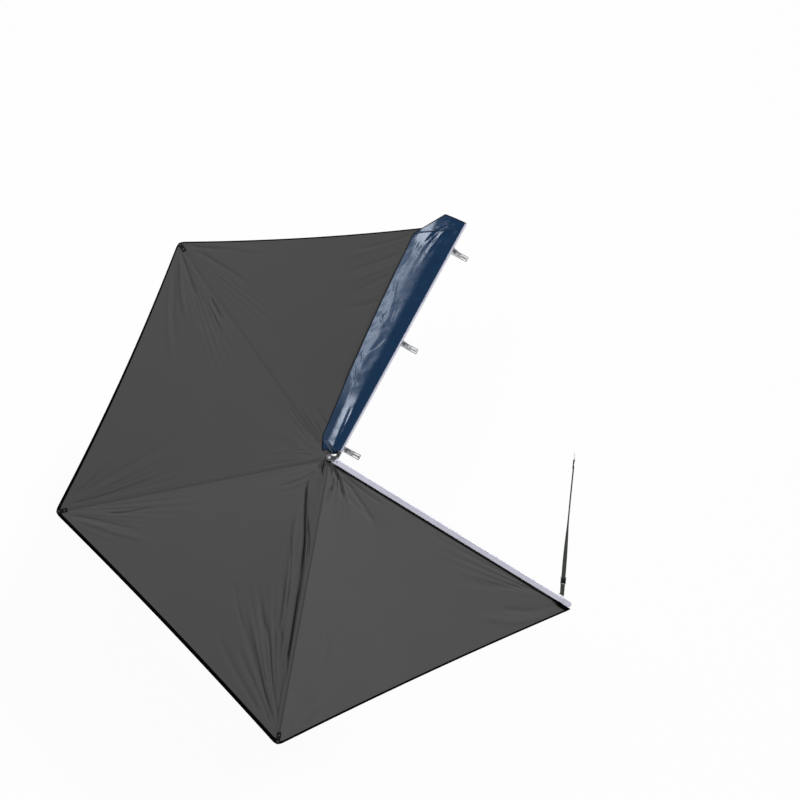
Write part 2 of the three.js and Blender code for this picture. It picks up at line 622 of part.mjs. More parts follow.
function legCollar(name) {
  const x0 = LEG_END + COLLAR_SEAT - COLLAR_LENGTH;
  const x1 = LEG_END + COLLAR_SEAT;
  const shell = barAlongX(COLLAR_RADIUS - COLLAR_RIB, x0, x1, 0, LEG_Z);
  const ribs = Array.from({ length: COLLAR_RIBS }, (_, i) => {
    const turn = (i / COLLAR_RIBS) * Math.PI * 2;
    const reach = COLLAR_RADIUS - 2 * COLLAR_RIB;
    const [y, z] = [Math.cos(turn) * reach, LEG_Z + Math.sin(turn) * reach];
    return barAlongX(2 * COLLAR_RIB, x0 + OVERRUN, x1 - OVERRUN, y, z, CORNER_STEPS);
  });
  const seat = barAlongX(LEG_RADIUS + GAP, LEG_END - GAP, x1 + OVERRUN, 0, LEG_Z);
  const bore = barAlongX(INNER_RADIUS + GAP, x0 - OVERRUN, x1, 0, LEG_Z);
  return named(name, cut(joined(shell, ...ribs), seat, bore), black);
}

function legInner(name) {
  const tube = barAlongX(INNER_RADIUS, INNER_END, INNER_TOP, 0, LEG_Z);
  const bore = barAlongX(INNER_RADIUS - INNER_WALL, INNER_END - OVERRUN, INNER_TOP + OVERRUN, 0, LEG_Z);
  return named(name, tube.subtract(bore), aluminium);
}

function legFoot(name) {
  const radius = FOOT_RADIUS;
  const step = FOOT_LENGTH / 6;
  const spigot = INNER_RADIUS - INNER_WALL - GAP;
  const profile = [
    [0, 0],
    [radius - step, 0],
    [radius, step],
    [radius, FOOT_LENGTH - 3 * step],
    [radius - step, FOOT_LENGTH - step],
    [radius - step, FOOT_LENGTH],
    [spigot, FOOT_LENGTH],
    [spigot, FOOT_LENGTH + FOOT_SPIGOT],
    [0, FOOT_LENGTH + FOOT_SPIGOT],
  ];
  const points = profile.map(([x, y]) => new THREE.Vector2(x, y));
  const lathe = new THREE.LatheGeometry(points, ROUND).rotateZ(-Math.PI / 2);
  return named(name, solid(lathe.translate(INNER_END - GAP - FOOT_LENGTH, 0, LEG_Z)), black);
}

function arm(number) {
  const group = new THREE.Group();
  const clamps = number < ARM_COUNT;
  group.add(armChannel(`arm_${number}_channel`));
  group.add(knuckle(`arm_${number}_knuckle`, clamps ? black : aluminium));
  group.add(bush(`arm_${number}_bush`));
  group.add(tipFitting(`arm_${number}_tip`, clamps));
  group.add(legPin(`leg_${number}_pin`));
  group.add(legTube(`leg_${number}_tube`));
  group.add(legCollar(`leg_${number}_collar`));
  group.add(legInner(`leg_${number}_inner_tube`));
  group.add(legFoot(`leg_${number}_foot`));
  group.rotation.z = THREE.MathUtils.degToRad(ARM_ANGLES[number - 1]);
  group.position.z = SLAB * (number - 1);
  return group;
}

// Canopy: each panel hangs between two edge lines, [inner point, outer point], given in the hub's frame
function alongArm(number, side, offset, z) {
  const angle = THREE.MathUtils.degToRad(ARM_ANGLES[number - 1]);
  return [CLOTH_START, ARM_LENGTH].map((reach) => {
    const x = reach * Math.cos(angle) - side * offset * Math.sin(angle);
    const y = reach * Math.sin(angle) + side * offset * Math.cos(angle);
    return new THREE.Vector3(x, y, z);
  });
}

function alongBeam() {
  const y = BEAM_FACE + GAP;
  return [BEAM_START, BEAM_END].map((x) => new THREE.Vector3(x, y, PANEL_GROOVE_Z));
}

// How far a point across the panel stands from its edges, from 0 on the lands to 1 in the middle
function slack(across, land) {
  const inside = Math.max(0, Math.min(across - land, 1 - land - across));
  return Math.sin((Math.min(1, inside / (0.5 - land)) * Math.PI) / 2);
}

function panelPoint(edges, lands, bow, radial, across) {
  const inner = (line) => line[0].clone().lerp(line[1], radial);
  const [a, b] = edges.map(inner);
  const chord = b.clone().sub(a);
  const span = Math.hypot(chord.x, chord.y);
  const share = placeAcross(across, lands, span);
  const point = a.clone().addScaledVector(chord, share);
  const shares = lands.map((land) => land / span);
  if (share <= shares[0]) point.z = a.z;
  else if (share >= 1 - shares[1]) point.z = b.z;
  else point.z = a.z + ((b.z - a.z) * (share - shares[0])) / (1 - shares[0] - shares[1]);
  const loose = slack(share, Math.max(...shares));
  const drawn = (bow * radial * 4 * share * (1 - share)) / span;
  point.x -= chord.y * drawn;
  point.y += chord.x * drawn;
  const fold = Math.sin(across * FOLDS_ACROSS * 2 * Math.PI) * FOLD_HEIGHT * (1 - radial / 2);
  point.z += loose * (fold - SAG) * Math.sqrt(radial);
  return [point.x, point.y, point.z];
}

// Columns are even between the two lands, and each land has one column of its own
function placeAcross(across, lands, span) {
  const column = Math.round(across * CLOTH_COLUMNS);
  const [low, high] = [lands[0] / span, 1 - lands[1] / span];
  if (column === 0) return 0;
  if (column === CLOTH_COLUMNS) return 1;
  return low + ((high - low) * (column - 1)) / (CLOTH_COLUMNS - 2);
}

function panel(number) {
  const top = (index) => SLAB * (index - 1) + ARM_TOP + GAP;
  const onArm = ARM_WIDTH / 2 + CLOTH_LAND;
  const first = number === 1;
  const last = number === ARM_ANGLES.length;
  const before = first ? alongBeam() : alongArm(number - 1, 1, GAP, top(number - 1));
  const side = last ? ARM_WIDTH / 2 + GAP : GAP;
  const sideZ = last ? top(number) - ARM_CORNER - CLOTH : top(number);
  const after = alongArm(number, -1, side, sideZ);
  const lands = [first ? CLOTH_LAND : onArm, last ? CLOTH_LAND : onArm];
  const point = (radial, across) => panelPoint([before, after], lands, EDGE_BOWS[number - 1], radial, across);
  return named(`canopy_panel_${number}`, sheet(CLOTH_ROWS, CLOTH_COLUMNS, CLOTH, point), canopy);
}

// Cover flap: across runs from the hinge line to the free edge
const FLAP_EDGE = FLAP_HINGE_INSET + OVERRUN;
const FLAP_REST = 3 * FLAP_HINGE_INSET;

function flapHeight(across) {
  const start = BEAM_TOP + GAP;
  return THREE.MathUtils.lerp(start, FLAP_LEVEL, THREE.MathUtils.smoothstep(across, FLAP_EDGE, FLAP_REST));
}

// The first two rows lie over the beam's edge, and the others are even
function flapAcross(over, width) {
  const row = Math.round(over * FLAP_ROWS);
  if (row === 0) return 0;
  return THREE.MathUtils.lerp(FLAP_EDGE, width, ((row - 1) / (FLAP_ROWS - 1)) ** FLAP_SPREAD);
}

// The rear end runs from the hinge line out to a nose beside the hub, and back to the outer corner
function flapRear(across, width) {
  const { mapLinear } = THREE.MathUtils;
  if (across < FLAP_EDGE) return FLAP_START;
  if (across < FLAP_REST) return mapLinear(across, FLAP_EDGE, FLAP_REST, FLAP_START, FLAP_NOSE);
  return mapLinear(across, FLAP_REST, width, FLAP_NOSE, FLAP_OUTER_START);
}

function flapPoint(along, over) {
  const bow = FLAP_WIDTH_BOW * Math.sin(along * Math.PI);
  const width = THREE.MathUtils.lerp(FLAP_WIDTH_REAR, FLAP_WIDTH_FRONT, along) + bow;
  const across = flapAcross(over, width);
  const end = THREE.MathUtils.lerp(FLAP_INNER_END, FLAP_OUTER_END, over);
  const x = THREE.MathUtils.lerp(flapRear(across, width), end, along);
  const swell = Math.sin(Math.PI * THREE.MathUtils.smoothstep(across / width, CROWN_START_SHARE, 1));
  return [x, BEAM_FACE - FLAP_HINGE_INSET + GAP + across, flapHeight(across) + FLAP_CROWN * swell * along];
}

function coverFlap() {
  return named("cover_flap", sheet(FLAP_COLUMNS, FLAP_ROWS, FLAP_THICK, flapPoint), cover);
}

function gussetPoint(along, over) {
  const hinge = BEAM_FACE - FLAP_HINGE_INSET + GAP;
  const [x0, y0, z0] = flapPoint(1, over);
  const y1 = hinge + flapAcross(over, GUSSET_OUT);
  const x1 = THREE.MathUtils.lerp(BEAM_END, GUSSET_OUT_X, over);
  const x = THREE.MathUtils.lerp(x0 + GAP, x1, along);
  const y = THREE.MathUtils.lerp(y0, y1, along);
  return [x, y, THREE.MathUtils.lerp(z0, flapHeight(y1 - hinge), along)];
}

function coverGusset() {
  return named("cover_end_gusset", sheet(FLAP_ROWS / 2, FLAP_ROWS, FLAP_THICK, gussetPoint), cover);
}

// Tie strap. The eye is bolted to the last arm's free side and drawn in that arm's frame
function strapEye() {
  const face = ARM_WIDTH / 2 + GAP;
  const x = STRAP_ARM_PLACE;
  const half = EYE_LENGTH / 2;
  const rise = EYE_HEIGHT / 2;
  const plate = block([x - half, face, LEG_Z - rise], [x + half, face + EYE_PLATE, LEG_Z + rise]);
  const bar = barAlongX(EYE_RADIUS, x - half, x + half, face + EYE_REACH, LEG_Z, SMALL_ROUND);
  const arms = [-1, 1].map((side) => {
    const place = x + side * (half - EYE_RADIUS / 2);
    const low = [place - EYE_RADIUS / 2, face, LEG_Z - EYE_RADIUS];
    return block(low, [place + EYE_RADIUS / 2, face + EYE_REACH, LEG_Z + EYE_RADIUS]);
  });
  return named("strap_eye", joined(plate, bar, ...arms), steel);
}

// The strap's frame: it starts in the middle of the eye's bar, +X towards the hook in the ground plan
const strapSlope = Math.atan2(STRAP_RUN[1], STRAP_RUN[0]);
const strapSpan = Math.hypot(...STRAP_RUN);
const lastAngle = THREE.MathUtils.degToRad(ARM_ANGLES[ARM_COUNT - 1]);
const eyeOffset = ARM_WIDTH / 2 + GAP + EYE_REACH;
const eyeMiddle = new THREE.Vector3(STRAP_ARM_PLACE, eyeOffset, SLAB * (ARM_COUNT - 1) + LEG_Z);
eyeMiddle.applyAxisAngle(new THREE.Vector3(0, 0, 1), lastAngle);
const LOOP_END = EYE_RADIUS + GAP + LOOP_LENGTH;
const BUCKLE_START = LOOP_END + GAP;
const BUCKLE_END = BUCKLE_START + BUCKLE_LENGTH;
const LEVER_X = BUCKLE_START + BUCKLE_LENGTH * LEVER_PLACE_SHARE;
const LEVER_Z = BUCKLE_HEIGHT / 2 - LEVER_RADIUS;
const WEB_START = BUCKLE_START + 4 * BUCKLE_WALL;
const WEB_LEVEL = BUCKLE_WALL - BUCKLE_HEIGHT / 2 + GAP + STRAP_THICK / 2;
const WEB_END = strapSpan - LINK_REACH - SHANK - HOOK_RADIUS;

// The sewn loop leaves the bar square to the arm and bends into the strap's line
function strapLoop() {
  const square = new THREE.Vector3(0, 1, 0);
  square.applyAxisAngle(new THREE.Vector3(0, 0, 1), lastAngle - strapSlope);
  const sideways = new THREE.Vector3(0, 1, 0);
  const barLine = square.clone().applyAxisAngle(new THREE.Vector3(0, 0, 1), Math.PI / 2);
  const start = square.clone().multiplyScalar(EYE_RADIUS + GAP);
  const end = new THREE.Vector3(LOOP_END, 0, 0);
  const point = (along, over) => {
    const middle = start.clone().lerp(end, along);
    const line = barLine.clone().lerp(sideways, along).normalize();
    middle.addScaledVector(line, (over - 0.5) * STRAP_WIDTH);
    return [middle.x, middle.y, -LOOP_THICK / 2];
  };
  return named("strap_loop", sheet(4, 2, LOOP_THICK, point), webbing);
}

function buckleFrame() {
  const half = BUCKLE_WIDTH / 2;
  const rise = BUCKLE_HEIGHT / 2;
  const wall = BUCKLE_WALL;
  const corner = roundedRectangle([BUCKLE_START, -half], [BUCKLE_END, half], wall);
  const frame = raised(corner, -rise, rise);
  const low = [BUCKLE_START + 2 * wall, wall - half, wall - rise];
  const room = block(low, [BUCKLE_END + OVERRUN, half - wall, rise + OVERRUN]);
  const hole = barAlongY(LEVER_PIN_RADIUS + GAP, -BUCKLE_WIDTH, BUCKLE_WIDTH, LEVER_X, LEVER_Z, SMALL_ROUND);
  return named("buckle_frame", cut(frame, room, hole), steel);
}

function buckleLever() {
  const half = BUCKLE_WIDTH / 2 - BUCKLE_WALL - GAP;
  const cam = barAlongY(LEVER_RADIUS, -half, half, LEVER_X, LEVER_Z, SMALL_ROUND);
  const pin = barAlongY(LEVER_PIN_RADIUS, -BUCKLE_WIDTH / 2, BUCKLE_WIDTH / 2, LEVER_X, LEVER_Z, SMALL_ROUND);
  const rise = LEVER_Z + LEVER_RADIUS;
  const tongue = block([LEVER_X - LEVER_LENGTH, -half, rise - LEVER_THICK], [LEVER_X, half, rise]);
  return named("buckle_lever", joined(cam, pin, tongue), black);
}

// The webbing's middle line, and how far it has turned on edge
function strapMiddle(along) {
  const x = THREE.MathUtils.lerp(WEB_START, WEB_END, along);
  const level = BUCKLE_END + BUCKLE_LENGTH / 2;
  const free = Math.max(0, (x - level) / (WEB_END - level));
  return new THREE.Vector3(x, 0, WEB_LEVEL - STRAP_DROP * free - STRAP_SAG * 4 * free * (1 - free));
}

function strapWebbing() {
  const [half, rise] = [STRAP_WIDTH / 2, STRAP_THICK / 2];
  const corners = [
    [-half, -rise],
    [half, -rise],
    [half, rise],
    [-half, rise],
  ];
  const positions = [];
  for (let i = 0; i <= STRAP_STEPS; i++) {
    const along = i / STRAP_STEPS;
    const middle = strapMiddle(along);
    const turn = (THREE.MathUtils.smoothstep(along, ...TWIST_SHARES) * Math.PI) / 2;
    for (const [across, up] of corners) {
      const y = across * Math.cos(turn) - up * Math.sin(turn);
      const z = across * Math.sin(turn) + up * Math.cos(turn);
      positions.push(middle.x, middle.y + y, middle.z + z);
    }
  }
  const count = corners.length;
  const last = STRAP_STEPS * count;
  const index = [0, 3, 2, 0, 2, 1, last, last + 1, last + 2, last, last + 2, last + 3];
  for (let i = 0; i < STRAP_STEPS; i++) {
    for (let j = 0; j < count; j++) {
      const [a, b] = [i * count + j, i * count + ((j + 1) % count)];
      if (j < 2) index.push(a, b, b + count, a, b + count, a + count);
      else index.push(a, b, a + count, b, b + count, a + count);
    }
  }
  const geometry = new THREE.BufferGeometry();
  geometry.setAttribute("position", new THREE.Float32BufferAttribute(positions, 3));
  geometry.setIndex(index);
  return named("strap_webbing", solid(geometry), webbing);
}

// A round wire through points
function wire(points, steps) {
  const section = new THREE.Shape();
  section.absarc(0, 0, WIRE_RADIUS, 0, Math.PI * 2);
  const path = new THREE.CatmullRomCurve3(points.map((point) => new THREE.Vector3(...point)));
  const options = { steps, extrudePath: path, bevelEnabled: false, curveSegments: CORNER_STEPS };
  return solid(new THREE.ExtrudeGeometry(section, options));
}

function strapHook() {
  const base = strapMiddle(1);
  const x = base.x + GAP + WIRE_RADIUS;
  const half = STRAP_WIDTH / 2 + WIRE_RADIUS;
  const throat = x + LINK_REACH;
  const bar = uprightBar(WIRE_RADIUS, base.z - half, base.z + half, x, 0, SMALL_ROUND);
  const sides = [-1, 1].map((side) => wire([[x, 0, base.z + side * half], [throat, 0, base.z]], 1));
  const middleX = throat + SHANK;
  const middleZ = base.z - HOOK_RADIUS;
  const bend = Array.from({ length: SMALL_ROUND }, (_, i) => {
    const turn = THREE.MathUtils.degToRad(90 - (HOOK_TURN * i) / (SMALL_ROUND - 1));
    return [middleX + HOOK_RADIUS * Math.cos(turn), 0, middleZ + HOOK_RADIUS * Math.sin(turn)];
  });
  const shank = [throat - WIRE_RADIUS, throat + SHANK / 2].map((place) => [place, 0, base.z]);
  const hook = wire([...shank, ...bend], 2 * SMALL_ROUND);
  return named("strap_hook", joined(bar, ...sides, hook), steel);
}

// Assembly: the hub's frame stands off the origin by the middle bracket's mount point
const awning = new THREE.Group();
awning.position.set(-BRACKET_PLACES[1], FOOT_DATUM - BEAM_BACK, -BEAM_BOTTOM);
awning.add(baseBeam(), endCap(), hubBracket(), hubPin(), hubNut());
["rear", "middle", "front"].forEach((place, i) => {
  awning.add(bracket(`bracket_${place}`, BRACKET_PLACES[i]));
  awning.add(slotPlate(`bracket_${place}_bolts`, BRACKET_PLACES[i]));
});
const arms = ARM_ANGLES.map((angle, i) => arm(i + 1));
arms[ARM_COUNT - 1].add(strapEye());
awning.add(...arms);
awning.add(...ARM_ANGLES.map((angle, i) => panel(i + 1)));
awning.add(coverFlap(), coverGusset());
const strap = new THREE.Group();
strap.add(strapLoop(), buckleFrame(), buckleLever(), strapWebbing(), strapHook());
strap.position.copy(eyeMiddle);
strap.rotation.z = strapSlope;
awning.add(strap);

export default awning;
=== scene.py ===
"""The looks of a vehicle side awning, standing open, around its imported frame.

Lengths are in metres. A place on the awning is given from the hub pin: x along the beam, y away from
the vehicle, z up from the lowest arm's seat. Bearings are in degrees from the beam.
"""

import json
import math

import bpy
import numpy as np
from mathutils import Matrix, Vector


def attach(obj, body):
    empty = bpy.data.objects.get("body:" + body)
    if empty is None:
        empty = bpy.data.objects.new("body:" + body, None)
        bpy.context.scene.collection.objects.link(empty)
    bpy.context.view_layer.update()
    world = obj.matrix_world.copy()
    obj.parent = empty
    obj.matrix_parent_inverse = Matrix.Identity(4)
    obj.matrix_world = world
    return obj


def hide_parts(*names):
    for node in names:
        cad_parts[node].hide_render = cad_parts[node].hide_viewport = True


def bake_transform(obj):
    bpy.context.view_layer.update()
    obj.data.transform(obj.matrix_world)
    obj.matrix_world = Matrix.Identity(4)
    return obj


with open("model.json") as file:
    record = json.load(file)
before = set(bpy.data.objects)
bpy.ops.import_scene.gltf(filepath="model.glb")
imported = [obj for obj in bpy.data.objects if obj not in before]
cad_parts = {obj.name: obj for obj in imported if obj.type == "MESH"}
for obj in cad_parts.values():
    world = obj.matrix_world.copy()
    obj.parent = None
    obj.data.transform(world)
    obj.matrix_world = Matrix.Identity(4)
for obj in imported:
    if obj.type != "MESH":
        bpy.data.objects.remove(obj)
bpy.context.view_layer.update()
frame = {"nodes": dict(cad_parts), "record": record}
nodes = frame["nodes"]

# ---- Sizes, the same as the frame's
HUB = np.array((-1.27, 0.122, 0.02))
ARM_BEARINGS = (64, 129.5, 198.5, 267)
LAST = len(ARM_BEARINGS)
ARM_HALF, ARM_TOP = 0.025, 0.04
SLAB = 0.05  # from one arm's seat on the pin to the next
BEAM_START, BEAM_END = 0.09, 2.585
BEAM_FACE, BEAM_TOP = -0.032, 0.064
GROOVE_HEIGHT = 0.042
CLOTH_INNER, CLOTH_CORNER = 0.046, 2.54  # the canopy's reach along an arm
CLOTH_LAND, EDGE_LAND = 0.032, 0.007  # how wide it lies flat at an arm, and at its two outermost edges
CLOTH_LIFT, CLOTH_THICK = 0.001, 0.0007
CORNER_ROUND, CORNER_REACH = 0.014, 0.055
SAG = 0.026
EDGE_BOWS = (0.033, 0.031, 0.011, 0.015)  # how far each panel's outer edge is drawn in

rng = np.random.default_rng(27)


def lerp(a, b, share):
    return a + (b - a) * share


def smooth(value, low, high):
    share = np.clip((value - low) / (high - low), 0, 1)
    return share * share * (3 - 2 * share)


def polar(reach, bearing):
    turn = np.radians(bearing)
    return np.stack([reach * np.cos(turn), reach * np.sin(turn)], -1)


def unit(vectors):
    return vectors / np.maximum(np.linalg.norm(vectors, axis=-1, keepdims=True), 1e-12)


def placed(name, data, place=(0, 0, 0), turn=(0, 0, 0)):
    """A new object in the scene."""
    made = bpy.data.objects.new(name, data)
    made.location, made.rotation_euler = place, turn
    bpy.context.scene.collection.objects.link(made)
    return made


# ---- Camera
def make_camera():
    data = bpy.data.cameras.new("camera")
    data.lens, data.sensor_width, data.clip_end = 31.5, 36, 200
    place, turn = (-1.17664, -0.46764, 6.57235), (0.11309, -0.01177, -1.07666)
    bpy.context.scene.camera = placed("camera", data, place, turn)


make_camera()


# ---- Node graphs
class Graph:
    """The nodes of a new material or world. Each input is a value or another node's output."""

    def __init__(self, owner):
        owner.use_nodes = True
        self.owner, self.tree = owner, owner.node_tree

    def fill(self, node, **inputs):
        """Fills a node's inputs by name, or by place as i0, i1 and so on."""
        for name, value in inputs.items():
            place = int(name[1:]) if name[1:].isdigit() else name.replace("_", " ")
            if isinstance(value, bpy.types.NodeSocket):
                self.tree.links.new(value, node.inputs[place])
            else:
                node.inputs[place].default_value = value
        return node

    def add(self, kind, settings=None, **inputs):
        made = self.tree.nodes.new("ShaderNode" + kind)
        for name, value in (settings or {}).items():
            setattr(made, name, value)
        return self.fill(made, **inputs)

    def maths(self, operation, a, b=0):
        return self.add("Math", {"operation": operation}, i0=a, i1=b).outputs[0]

    def plus(self, a, b):
        return self.maths("ADD", a, b)

    def times(self, a, b):
        return self.maths("MULTIPLY", a, b)

    def most(self, a, b):
        return self.maths("MAXIMUM", a, b)

    def blend(self, a, b, share):
        """A share of a, and of b the rest."""
        return self.plus(self.times(a, share), self.times(b, 1 - share))

    def ramp(self, value, low, high, to_low, to_high):
        return self.add("MapRange", i0=value, i1=low, i2=high, i3=to_low, i4=to_high).outputs[0]

    def spread(self, value, low, high):
        """A noise's usual values, spread over a range."""
        return self.ramp(value, 0.3, 0.7, low, high)

    def tone(self, share, dark, light):
        """A colour between two."""
        ends = [c if isinstance(c, bpy.types.NodeSocket) else (*c, 1) for c in (dark, light)]
        return self.add("Mix", {"data_type": "RGBA"}, i0=share, i6=ends[0], i7=ends[1]).outputs[2]

    def noise(self, vector, scale, detail=3, rough=0.5):
        inputs = {"Vector": vector, "Scale": scale, "Detail": detail, "Roughness": rough}
        return self.add("TexNoise", **inputs).outputs[0]

    def stretched(self, vector, scale, turn=0):
        """The coordinates turned about z by some degrees, then scaled."""
        if turn:
            vector = self.add("Mapping", Vector=vector, Rotation=(0, 0, math.radians(turn))).outputs[0]
        return self.add("Mapping", Vector=vector, Scale=scale).outputs[0]

    def bump(self, height, strength, distance, below=None):
        made = self.add("Bump", Height=height, Strength=strength, Distance=distance)
        return self.fill(made, **({} if below is None else {"Normal": below})).outputs[0]

    def ribs(self, uv, direction, pitch):
        scale = math.pi / 10 / pitch  # one rib in each pitch
        return self.add("TexWave", {"bands_direction": direction}, Vector=uv, Scale=scale).outputs[1]

    def weave(self, uv, pitch):
        """Height of a plain weave: two sets of threads that pass over and under each other."""
        return self.plus(self.ribs(uv, "X", pitch), self.ribs(uv, "Y", pitch))

    def cloth(self):
        return self.add("UVMap", {"uv_map": "cloth"}).outputs[0]

    def spot(self):
        return self.add("TexCoord").outputs["Object"]

    def principled(self, **inputs):
        """Fills the material's own shader, and gives the material."""
        self.fill(self.tree.nodes["Principled BSDF"], **inputs)
        return self.owner


def new_graph(name):
    return Graph(bpy.data.materials.new(name))


# ---- Materials
def canopy_material(number, painted_light_gain):
    g = new_graph(f"ripstop_cloth_{number}")
    uv = g.cloth()
    cloud = g.noise(uv, 2.6, 4)
    shade = g.blend(cloud, g.noise(uv, 340, 2), 0.7)
    crinkle = g.bump(g.noise(uv, 19, 3, 0.6), 0.16, 0.004)
    return g.principled(
        Sheen_Weight=0.03,
        Specular_IOR_Level=0.1,
        # painted light and shade: the gain lightens or darkens this panel's cloth to stand in for how the
        # lamps fall on it
        Base_Color=g.tone(shade, (0.063 * painted_light_gain,) * 3, (0.0745 * painted_light_gain,) * 3),
        Roughness=g.spread(cloud, 0.8, 0.92),
        Normal=g.bump(g.weave(uv, 0.0011), 0.22, 0.00025, crinkle),
    )


def webbing_material(name, dark, light, pitch, shine=0.05):
    g = new_graph(name)
    uv = g.cloth()
    chevron = g.ribs(uv, "DIAGONAL", pitch * 2.2)
    wear = g.noise(uv, 24, 4)
    return g.principled(
        Specular_IOR_Level=shine,
        Base_Color=g.tone(wear, dark, light),
        Roughness=g.spread(wear, 0.72, 0.9),
        Normal=g.bump(g.plus(g.ribs(uv, "Y", pitch), g.times(chevron, 0.6)), 0.5, 0.0005),
    )


def stitched_material(name, dark, light, thread, rows, pitch=0.006):
    """Tape with rows of stitches. Its map runs along the tape in metres, and across it from 0 to 1."""
    g = new_graph(name)
    uv = g.cloth()
    along, across, _ = g.add("SeparateXYZ", Vector=uv).outputs
    dash = g.maths("GREATER_THAN", g.maths("SINE", g.times(along, 2 * math.pi / pitch)), -0.3)
    away = [g.maths("ABSOLUTE", g.maths("SUBTRACT", across, row)) for row in rows]
    near = g.maths("LESS_THAN", g.maths("MINIMUM", away[0], away[-1]), 0.045)
    stitch = g.times(dash, near)
    grain = g.noise(g.stretched(uv, (1, 0.05, 1)), 260, 2)
    return g.principled(
        Specular_IOR_Level=0.05,
        Base_Color=g.tone(stitch, g.tone(grain, dark, light), thread),
        Roughness=g.spread(grain, 0.72, 0.9),
        Normal=g.bump(g.plus(g.times(grain, 0.3), stitch), 0.5, 0.0005),
    )


def pvc_material():
    """Coated cloth: navy and glossy near the hinge, with a painted pale sheen, mottled like scuffs, towards
    its outer edge.
    """
    g = new_graph("coated_pvc")
    uv = g.cloth()
    x, y, _ = g.add("SeparateXYZ", Vector=uv).outputs
    inset, rear_width, flare = 0.047, 0.212, 0.0733
    over = g.maths("DIVIDE", g.plus(y, inset), g.plus(g.times(x, flare), rear_width))
    cloud = g.noise(uv, 5, 4, 0.6)
    scuffs_and_sheen_noise = g.noise(g.stretched(uv, (1, 4, 1), 24), 9, 5, 0.65)
    painted_sheen_reach = g.plus(over, g.times(g.maths("SUBTRACT", scuffs_and_sheen_noise, 0.5), 1.1))
    middle = g.times(g.ramp(x, 0.42, 0.75, 0, 1), g.ramp(x, 2.02, 2.3, 1, 0))
    # painted sheen: towards the outer edge a pale blue-grey is mixed into the navy, standing in for the sky's
    # reflection, mottled like scuffs
    painted_sheen = g.times(g.ramp(painted_sheen_reach, 0.42, 0.88, 0, 1), g.ramp(middle, 0, 1, 0.12, 1))
    navy = g.tone(cloud, (0.001, 0.018, 0.052), (0.003, 0.027, 0.074))
    rubbed = g.times(middle, g.ramp(over, 0.32, 0.48, 0, 0.17))
    dimples = g.bump(g.noise(uv, 42, 3, 0.55), 0.05, 0.0014)
    return g.principled(
        Specular_IOR_Level=0.8,
        # painted reflection colour: the bluish specular tint stands in for a blue sky in the gloss
        Specular_Tint=(0.78, 0.86, 1, 1),
        Base_Color=g.tone(painted_sheen, navy, (0.034, 0.06, 0.112)),
        Roughness=g.plus(g.spread(g.blend(cloud, scuffs_and_sheen_noise, 0.5), 0.14, 0.2), rubbed),
        Normal=g.bump(g.weave(uv, 0.0016), 0.1, 0.0002, dimples),
    )


def metal_material(name, dark, light, turn, roughness, metallic, streak=(1.6, 90, 90)):
    """Metal with fine lines along its length, which runs at turn degrees from x."""
    g = new_graph(name)
    spot = g.spot()
    lines = g.noise(g.stretched(spot, streak, -turn), 6, 4, 0.6)
    shade = g.blend(lines, g.noise(spot, 9, 3), 0.6)
    return g.principled(
        Metallic=metallic,
        Base_Color=g.tone(shade, dark, light),
        Roughness=g.spread(shade, *roughness),
        Normal=g.bump(lines, 0.12, 0.0006),
    )


def plated_material(name, dark, light):
    """Zinc plating: crystalline patches, rubbed brighter in places."""
    g = new_graph(name)
    spot = g.spot()
    crystals = g.add("TexVoronoi", Vector=spot, Scale=160).outputs[0]
    cloud = g.noise(spot, 35, 4)
    return g.principled(
        Metallic=0.85,
        Base_Color=g.tone(g.blend(crystals, cloud, 0.5), dark, light),
        Roughness=g.spread(cloud, 0.22, 0.42),
        Normal=g.bump(cloud, 0.1, 0.0008),
    )


def moulded_material(name, dark, light, roughness, scale=420, strength=0.3, shine=0.07):
    """Moulded plastic, rubber or powder coating: a fine grain over soft clouds."""
    g = new_graph(name)
    spot = g.spot()
    cloud = g.noise(spot, 14, 4)
    return g.principled(
        Specular_IOR_Level=shine,
        Base_Color=g.tone(cloud, dark, light),
        Roughness=g.spread(cloud, *roughness),
        Normal=g.bump(g.noise(spot, scale, 2, 0.6), strength, 0.0005),
    )


def aluminium(name, turn):
    # the grey is the metal's own; its bluish tint is a painted reflection of a blue sky
    return metal_material(name, (0.5, 0.5, 0.6), (0.74, 0.74, 0.86), turn, (0.28, 0.44), 0.35)


# painted light and shade: each panel's cloth is a lighter or darker copy of one colour, by a gain that stands
# in for how the lamps fall on that panel
CLOTH = {number: canopy_material(number, painted_light_gain) for number, painted_light_gain in enumerate((0.84, 0.89, 1.05, 1.26), 1)}
HEM = webbing_material("hem_tape", (0.0004, 0.0004, 0.0005), (0.0015, 0.0015, 0.0017), 0.0022, 0.015)
# painted shade: the seam tape is darker than the cloth, standing in for the shade line along each seam
SEAM = stitched_material(
    "seam_tape", (0.048, 0.048, 0.049), (0.06, 0.06, 0.061), (0.085, 0.085, 0.086), (0.28, 0.72)
)
EDGE_TAPE = stitched_material(
    "edge_tape", (0.0015, 0.0015, 0.0018), (0.005, 0.005, 0.0056), (0.02, 0.02, 0.021), (0.5,), 0.05
)
PVC = pvc_material()
BINDING = webbing_material("cover_binding", (0.004, 0.006, 0.009), (0.01, 0.014, 0.02), 0.0018)
STRAP = webbing_material("strap_webbing_weave", (0.026, 0.032, 0.027), (0.07, 0.078, 0.066), 0.0022)
PLATED = plated_material("zinc_plating", (0.36, 0.37, 0.39), (0.62, 0.63, 0.65))
DULL_ZINC = plated_material("dull_zinc", (0.05, 0.052, 0.056), (0.14, 0.145, 0.155))
CASTING = moulded_material(
    "black_casting", (0.0008, 0.0008, 0.0009), (0.003, 0.003, 0.0034), (0.42, 0.62), 300, shine=0.035
)
PLASTIC = moulded_material("black_plastic", (0.0045, 0.0045, 0.005), (0.012, 0.012, 0.013), (0.38, 0.55))
NYLON = moulded_material("bush_nylon", (0.55, 0.54, 0.49), (0.68, 0.67, 0.62), (0.45, 0.6))
